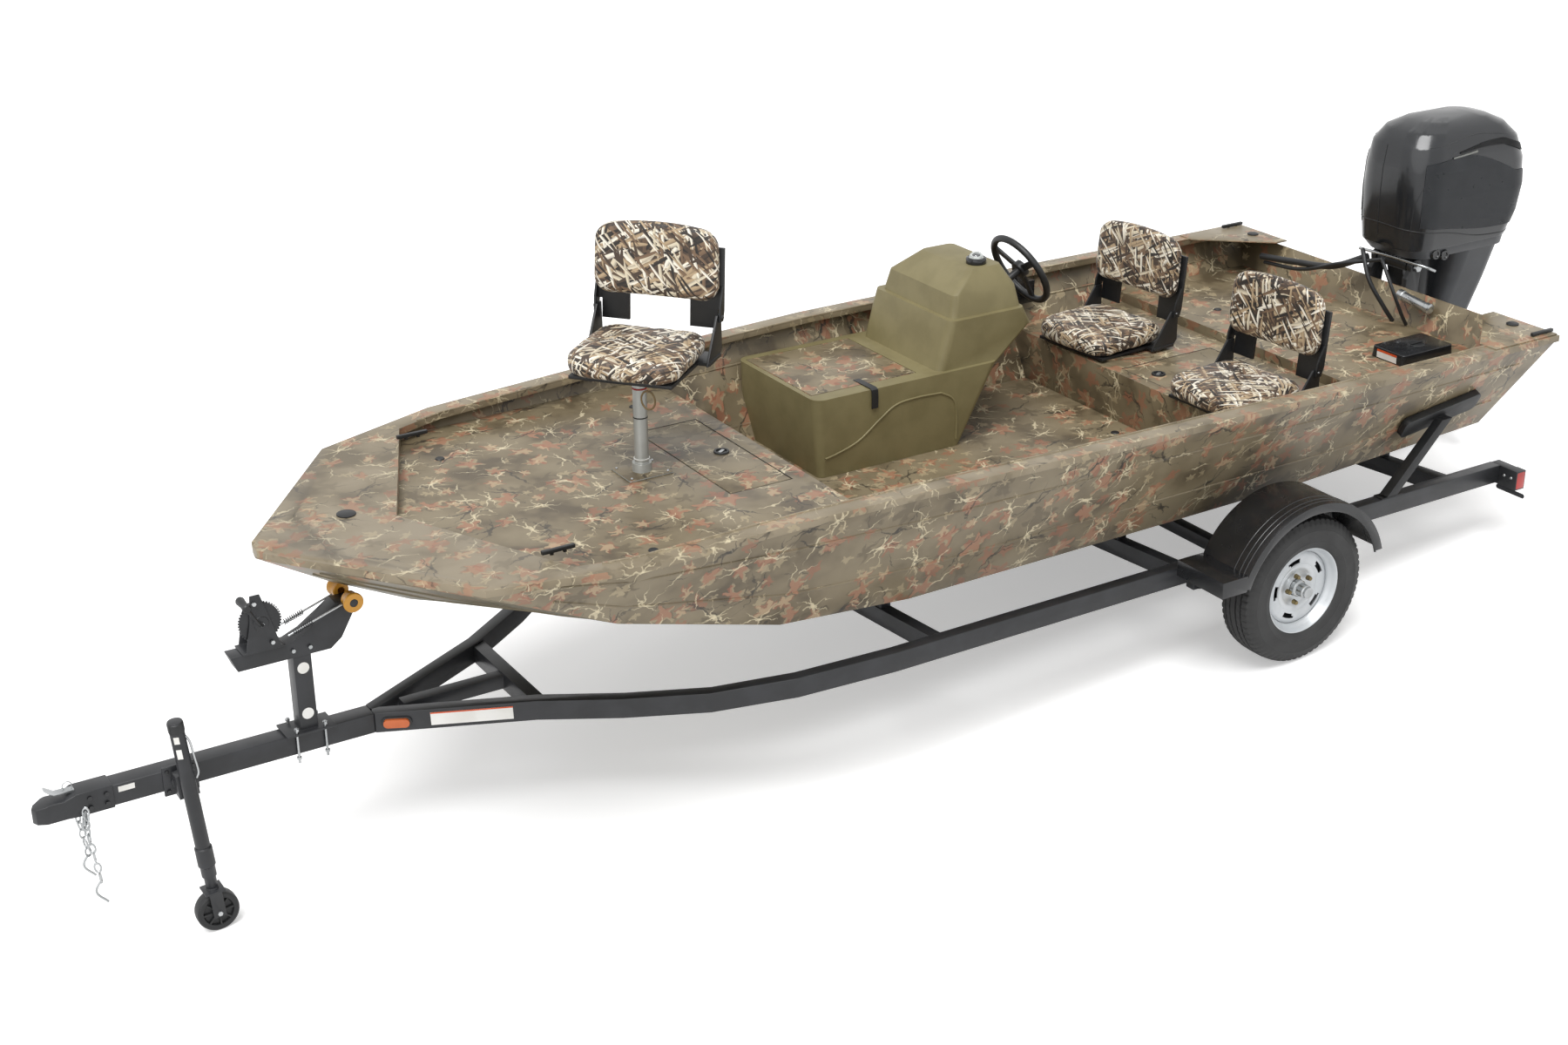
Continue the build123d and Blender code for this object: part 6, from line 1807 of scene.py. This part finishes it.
    def build(self) -> Iterator[Object]:
        """Builds the wheel.

        Returns:
            The pieces, as each is made.
        """
        body = f"wheel_{self.label}"
        yield from [self.tyre(), self.rim()]
        cap = lathe(((0.034, 0.020), (0.034, 0.046), (0.030, 0.050), (0.0265, 0.052), (0.0265, 0.082),
                     (0.0225, 0.086), (0.0225, 0.0965), (0.018, 0.0978), (0.010, 0.0970), (0, 0.0970)),
                    self.place(), 44)
        yield make_piece(f"grease_cap_{self.label}", cap, Finish.ZINC, body, Matrix.Identity(4))
        # Painted shade: a flat black disc fills the rim, where there is only shade, and shows dark through the
        # wheel's windows in place of the shadowed hub and axle behind them.
        dark = lathe(((0.146, 0.006), (0.020, 0.006), (0.0, 0.006)), self.place(), 64)
        bmesh.ops.solidify(dark, geom=dark.faces[:], thickness=0.004)
        yield make_piece(f"rim_shade_plate_{self.label}", dark, Finish.BLACK_POWDER, body,
                         Matrix.Identity(4))
        spots = [((self.lug_circle * math.cos(turn), self.lug_circle * math.sin(turn), 0.036), (0, 0, 1))
                 for turn in [math.tau * (number + 0.5) / self.windows for number in range(self.windows)]]
        yield heads(f"lug_nuts_{self.label}", spots, 10.5, 20.0, Finish.BRASS_ZINC, body,
                    self.place(), 6, 0.8)


@dataclass
class Fenders:
    """The moulded fenders with rolled edges, a double ridge and a front step."""

    radius: float = 0.378
    axle: float = 0.3035
    inner: float = 0.872
    outer: float = 1.128
    end_rise: float = 0.108
    ridges: tuple[tuple[float, float, float], ...] = (
        (0.030, 0.001, 5.0), (0.052, 0.0, 4.0), (0.082, 0.0, 3.5))
    lip_drop: float = 0.034

    def arc(self, radius: float, y: float) -> list[Point]:
        """Gives an arc over the wheel, from one end of the fender to the other.

        Args:
            radius: Its radius about the axle.
            y: Its place across the trailer.

        Returns:
            The arc's points.
        """
        start = math.asin((self.end_rise + 0.004) / self.radius)
        return [(radius * math.cos(turn), y, self.axle + radius * math.sin(turn))
                for turn in spread(start, math.pi - start, 60)]

    def build(self) -> Iterator[Object]:
        """Builds the fenders.

        Returns:
            The pieces, as each is made.
        """
        yield dressed("fenders", Finish.BLACK_GLOSS, 2.0, 2)
        for side, label in SIDES:
            for number, (inset, sink, radius_mm) in enumerate(self.ridges):
                arc = self.arc(self.radius - sink - radius_mm * MM * 0.4, side * (self.outer - inset))
                yield run(f"fender_ridge_{label}_{number}", arc, radius_mm, Finish.BLACK_GLOSS)
            lip = self.arc(self.radius - self.lip_drop, side * (self.outer - 0.005))
            yield run(f"fender_lip_{label}", lip, 4.5, Finish.BLACK_GLOSS)
            edge = [(0.4655, side * y, 0.4665) for y in (self.inner + 0.004, self.outer - 0.004)]
            yield run(f"step_edge_{label}", edge, 2.5, Finish.BLACK_GLOSS)


@dataclass
class Jack:
    """The swing-up tongue jack with its bracket bolts, top cap, pull pin and caster."""

    x: float = 4.107
    y: float = 0.122
    top: float = 0.829
    caster: float = 0.075
    caster_half: float = 0.023

    def build(self) -> Iterator[Object]:
        """Builds the jack.

        Returns:
            The pieces, as each is made.
        """
        yield from [dressed("jack_bracket", Finish.BLACK_POWDER, 2.0),
                    dressed("jack_tube", Finish.BLACK_POWDER, 2.0), dressed("jack_fork", Finish.BLACK_POWDER, 1.5)]
        sleeve = lathe(((0.0262, 0.255), (0.0300, 0.260), (0.0300, 0.330), (0.0262, 0.335)),
                       stand_at((self.x, self.y, 0.0)), 36)
        yield make_piece("jack_sleeve", sleeve, Finish.BLACK_POWDER, "jack", UPRIGHT)
        cap = lathe(((0.0262, self.top - 0.040), (0.0275, self.top - 0.036), (0.0275, self.top - 0.006),
                     (0.022, self.top - 0.0005), (0, self.top - 0.0005)), stand_at((self.x, self.y, 0.0)), 36)
        yield make_piece("jack_top_cap", cap, Finish.BLACK_MOULDING, "jack", UPRIGHT)
        pin = smooth_path(((self.x - 0.022, self.y + 0.010, 0.770), (self.x - 0.031, self.y + 0.014, 0.745),
                           (self.x - 0.034, self.y + 0.016, 0.690), (self.x - 0.037, self.y + 0.016, 0.630),
                           (self.x - 0.028, self.y + 0.012, 0.605)))
        yield run("jack_pull_pin", pin, 4.0, Finish.ZINC, "jack", UPRIGHT)
        labels = bmesh.new()
        for height, tall in ((0.768, 0.026), (0.715, 0.036)):
            plate(oblong(0.018, tall), 0.0008,
                  stand_at((self.x + 0.0119, self.y + 0.0229, height), (0.46, 0.888, 0)), 0, labels)
        yield make_piece("jack_labels", labels, Finish.PAPER, "jack", UPRIGHT)
        bolts = [((4.120 + dx, 0.0465, 0.2439 + dz), (0, 1, 0))
                 for dx in (-0.045, 0.045) for dz in (-0.038, 0.038)]
        yield heads("jack_bracket_bolts", bolts, 8.0, 6.0, Finish.BLACK_GLOSS, sides=6, crown=0.95)
        body = "caster_roller"
        hub = stand_at((self.x, self.y - self.caster_half, self.caster), (0, 1, 0))
        width = 2 * self.caster_half
        tread = lathe(((0.0080, 0.002), (0.022, 0.0), (0.024, 0.008), (0.050, 0.010), (0.054, 0.002),
                       (0.068, 0.0), (0.0735, 0.004), (0.075, 0.012), (0.075, width - 0.012), (0.0735, width - 0.004),
                       (0.068, width), (0.054, width - 0.002), (0.050, width - 0.010), (0.024, width - 0.008),
                       (0.022, width), (0.0080, width - 0.002)), hub, 48)
        wheel = make_piece("caster_wheel_moulded", tread, Finish.BLACK_MOULDING, body, UPRIGHT)
        yield stands_for(wheel, "jack_wheel")
        spokes = bmesh.new()
        for number in range(8):
            turn = math.tau * number / 8
            place = (stand_at((self.x, self.y + 0.0215, self.caster), (0, -1, 0))
                     @ Matrix.Rotation(turn, 4, "Z") @ Matrix.Translation((0.036, 0, 0)))
            plate(oblong(0.034, 0.006, 0.001), 0.043, place, 0.8, spokes)
        yield make_piece("caster_spokes", spokes, Finish.BLACK_MOULDING, body, UPRIGHT)
        ends = [((self.x, self.y + side * 0.0352, self.caster), (0, side, 0)) for side in (1, -1)]
        yield heads("caster_bolt", ends, 10.0, 5.0, Finish.ZINC, "jack_caster", UPRIGHT, 6, 0.9)


@dataclass
class FuelBox:
    """The fuel filler box on the stern deck with its cap and blank label."""

    middle: tuple[float, float] = (-1.150, 0.480)
    deck: float = 0.876

    def build(self) -> Iterator[Object]:
        """Builds the box.

        Returns:
            The pieces, as each is made.
        """
        yield dressed("fuel_box", Finish.BLACK_GLOSS, 2.5, 3)
        x, y = self.middle
        cap = bmesh.new()
        lathe(((0, 0.0), (0.034, 0.0), (0.038, -0.003), (0.040, -0.010), (0.044, -0.012)),
              stand_at((x, y, self.deck + 0.0475)), 40, cap)
        plate(oblong(0.066, 0.012, 0.004), 0.006, stand_at((x, y, self.deck + 0.0470)), 1.5, cap)
        yield make_piece("fuel_cap", cap, Finish.BLACK_MOULDING)
        for name, tall, rise, lift, finish in (
                ("box_label", 0.034, 0.022, 0.0, Finish.PAPER),
                ("box_label_strip", 0.009, 0.036, 0.0006, Finish.ORANGE_STRIP)):
            sheet = plate(oblong(0.110, tall), 0.0006,
                          stand_at((-0.9798 + lift, y, self.deck + rise), (1, 0, 0)), 0)
            yield make_piece(name, sheet, finish)


@dataclass
class Studio:
    """Plain white floor, soft even light and the photograph's camera."""

    camera_at: tuple[float, float, float] = (5.7797, 6.6410, 4.0423)
    yaw: float = math.radians(-121.5614)
    dip: float = math.radians(23.8691)
    roll: float = math.radians(-0.388)
    lens: float = 50.904
    floor_size: float = 60.0
    floor_glow: float = 0.36
    world_light: float = 0.5
    suns: tuple[tuple[str, float, float, float, float], ...] = (
        ("key", 2.45, 34.0, 22.0, 138.0), ("fill", 0.55, 60.0, 58.0, 128.0))

    def build(self) -> None:
        """Makes the camera, floor, lamps and world."""
        self.camera()
        self.floor()
        self.light()

    def camera(self) -> None:
        """Sets the camera where the photograph was taken from."""
        ahead = Vector((math.cos(self.yaw) * math.cos(self.dip), math.sin(self.yaw) * math.cos(self.dip),
                        -math.sin(self.dip)))
        right = Vector((math.sin(self.yaw), -math.cos(self.yaw), 0.0))
        above = right.cross(ahead)
        right, above = (math.cos(self.roll) * right + math.sin(self.roll) * above,
                        -math.sin(self.roll) * right + math.cos(self.roll) * above)
        turn = PARKED.to_3x3() @ Matrix((right, above, -ahead)).transposed()
        data = bpy.data.cameras.new("photo_camera")
        data.sensor_width = 36.0
        data.lens = self.lens
        data.clip_end = 200.0
        camera = bpy.data.objects.new("photo_camera", data)
        camera.matrix_world = Matrix.Translation(PARKED @ Vector(self.camera_at)) @ turn.to_4x4()
        bpy.context.scene.collection.objects.link(camera)
        bpy.context.scene.camera = camera

    def floor(self) -> None:
        """Lays a white floor that keeps the shadow and glows white to the camera."""
        shape = bmesh.new()
        bmesh.ops.create_grid(shape, x_segments=1, y_segments=1, size=self.floor_size)
        mesh = bpy.data.meshes.new("floor_sheet")
        shape.to_mesh(mesh)
        shape.free()
        material, tree, shader = new_material("studio_white")
        ray = tree.add("ShaderNodeLightPath")
        glow = tree.add(MATH, (ray.outputs["Is Camera Ray"], self.floor_glow), operation="MULTIPLY")
        tree.feed(shader, {"Base Color": (0.9, 0.9, 0.9, 1.0), "Roughness": 0.9, "Specular IOR Level": 0.0,
                           "Emission Color": (1.0, 1.0, 1.0, 1.0), "Emission Strength": glow})
        mesh.materials.append(material)
        floor = bpy.data.objects.new("floor_sheet", mesh)
        bpy.context.scene.collection.objects.link(floor)

    def light(self) -> None:
        """Hangs two soft suns in an even white world."""
        for name, strength, angle, tilt, heading in self.suns:
            data = bpy.data.lights.new(name, "SUN")
            data.energy = strength
            data.angle = math.radians(angle)
            lamp = bpy.data.objects.new(name, data)
            lamp.rotation_euler = (math.radians(tilt), 0.0, math.radians(heading))
            bpy.context.scene.collection.objects.link(lamp)
        world = bpy.data.worlds.new("studio")
        bpy.context.scene.world = world
        world.use_nodes = True
        tree = Graph(world.node_tree)
        tree.own.nodes.clear()
        ray = tree.add("ShaderNodeLightPath")
        glossy = tree.add(MATH, (ray.outputs["Is Glossy Ray"], ray.outputs["Is Transmission Ray"]),
                          operation="MAXIMUM")
        shown = tree.add(MATH, (ray.outputs["Is Camera Ray"], glossy), operation="MAXIMUM")
        strength = tree.add(MATH, (shown, 1.0 - self.world_light, self.world_light),
                            operation="MULTIPLY_ADD")
        background = tree.add("ShaderNodeBackground", ((1.0, 1.0, 1.0, 1.0), strength))
        tree.add("ShaderNodeOutputWorld", (background,))


def seats() -> list[Object]:
    """Builds the three seats on one pair of cushions.

    Returns:
        The pieces.
    """
    trio = (Seat("bow", (2.306, 0.0, 1.3435), 40.0, "bow_seat", "bow_back"),
            Seat("helm", (-0.195, -0.438, 0.844), 5.0, BOAT, "helm_back"),
            Seat("port", (-0.180, 0.434, 0.846), 4.0, BOAT, "port_back"))
    cushion, pad = Upholstery().build(trio[0])
    return [piece for seat in trio for piece in seat.build(cushion, pad)]


def main() -> None:
    """Builds the studio and every sub-assembly, and reports each piece."""
    logging.basicConfig(level=logging.INFO, format="%(name)s %(message)s")
    bpy.context.scene.view_settings.view_transform = "Standard"
    Studio().build()
    hull = Hull()
    builders: tuple[Callable[[], Iterable[Object]], ...] = (
        hull.build, Gunwales(hull).build, Decks().build, Console().build, seats, Pedestal().build,
        Outboard().build, Trailer().build, Winch().build, Wheel(1, "port").build,
        Wheel(-1, "starboard").build, Fenders().build, Jack().build, FuelBox().build)
    for build in builders:
        for piece in build():
            log.info("%s: %d faces", piece.name, len(piece.data.polygons))


if __name__ == "__main__":
    main()
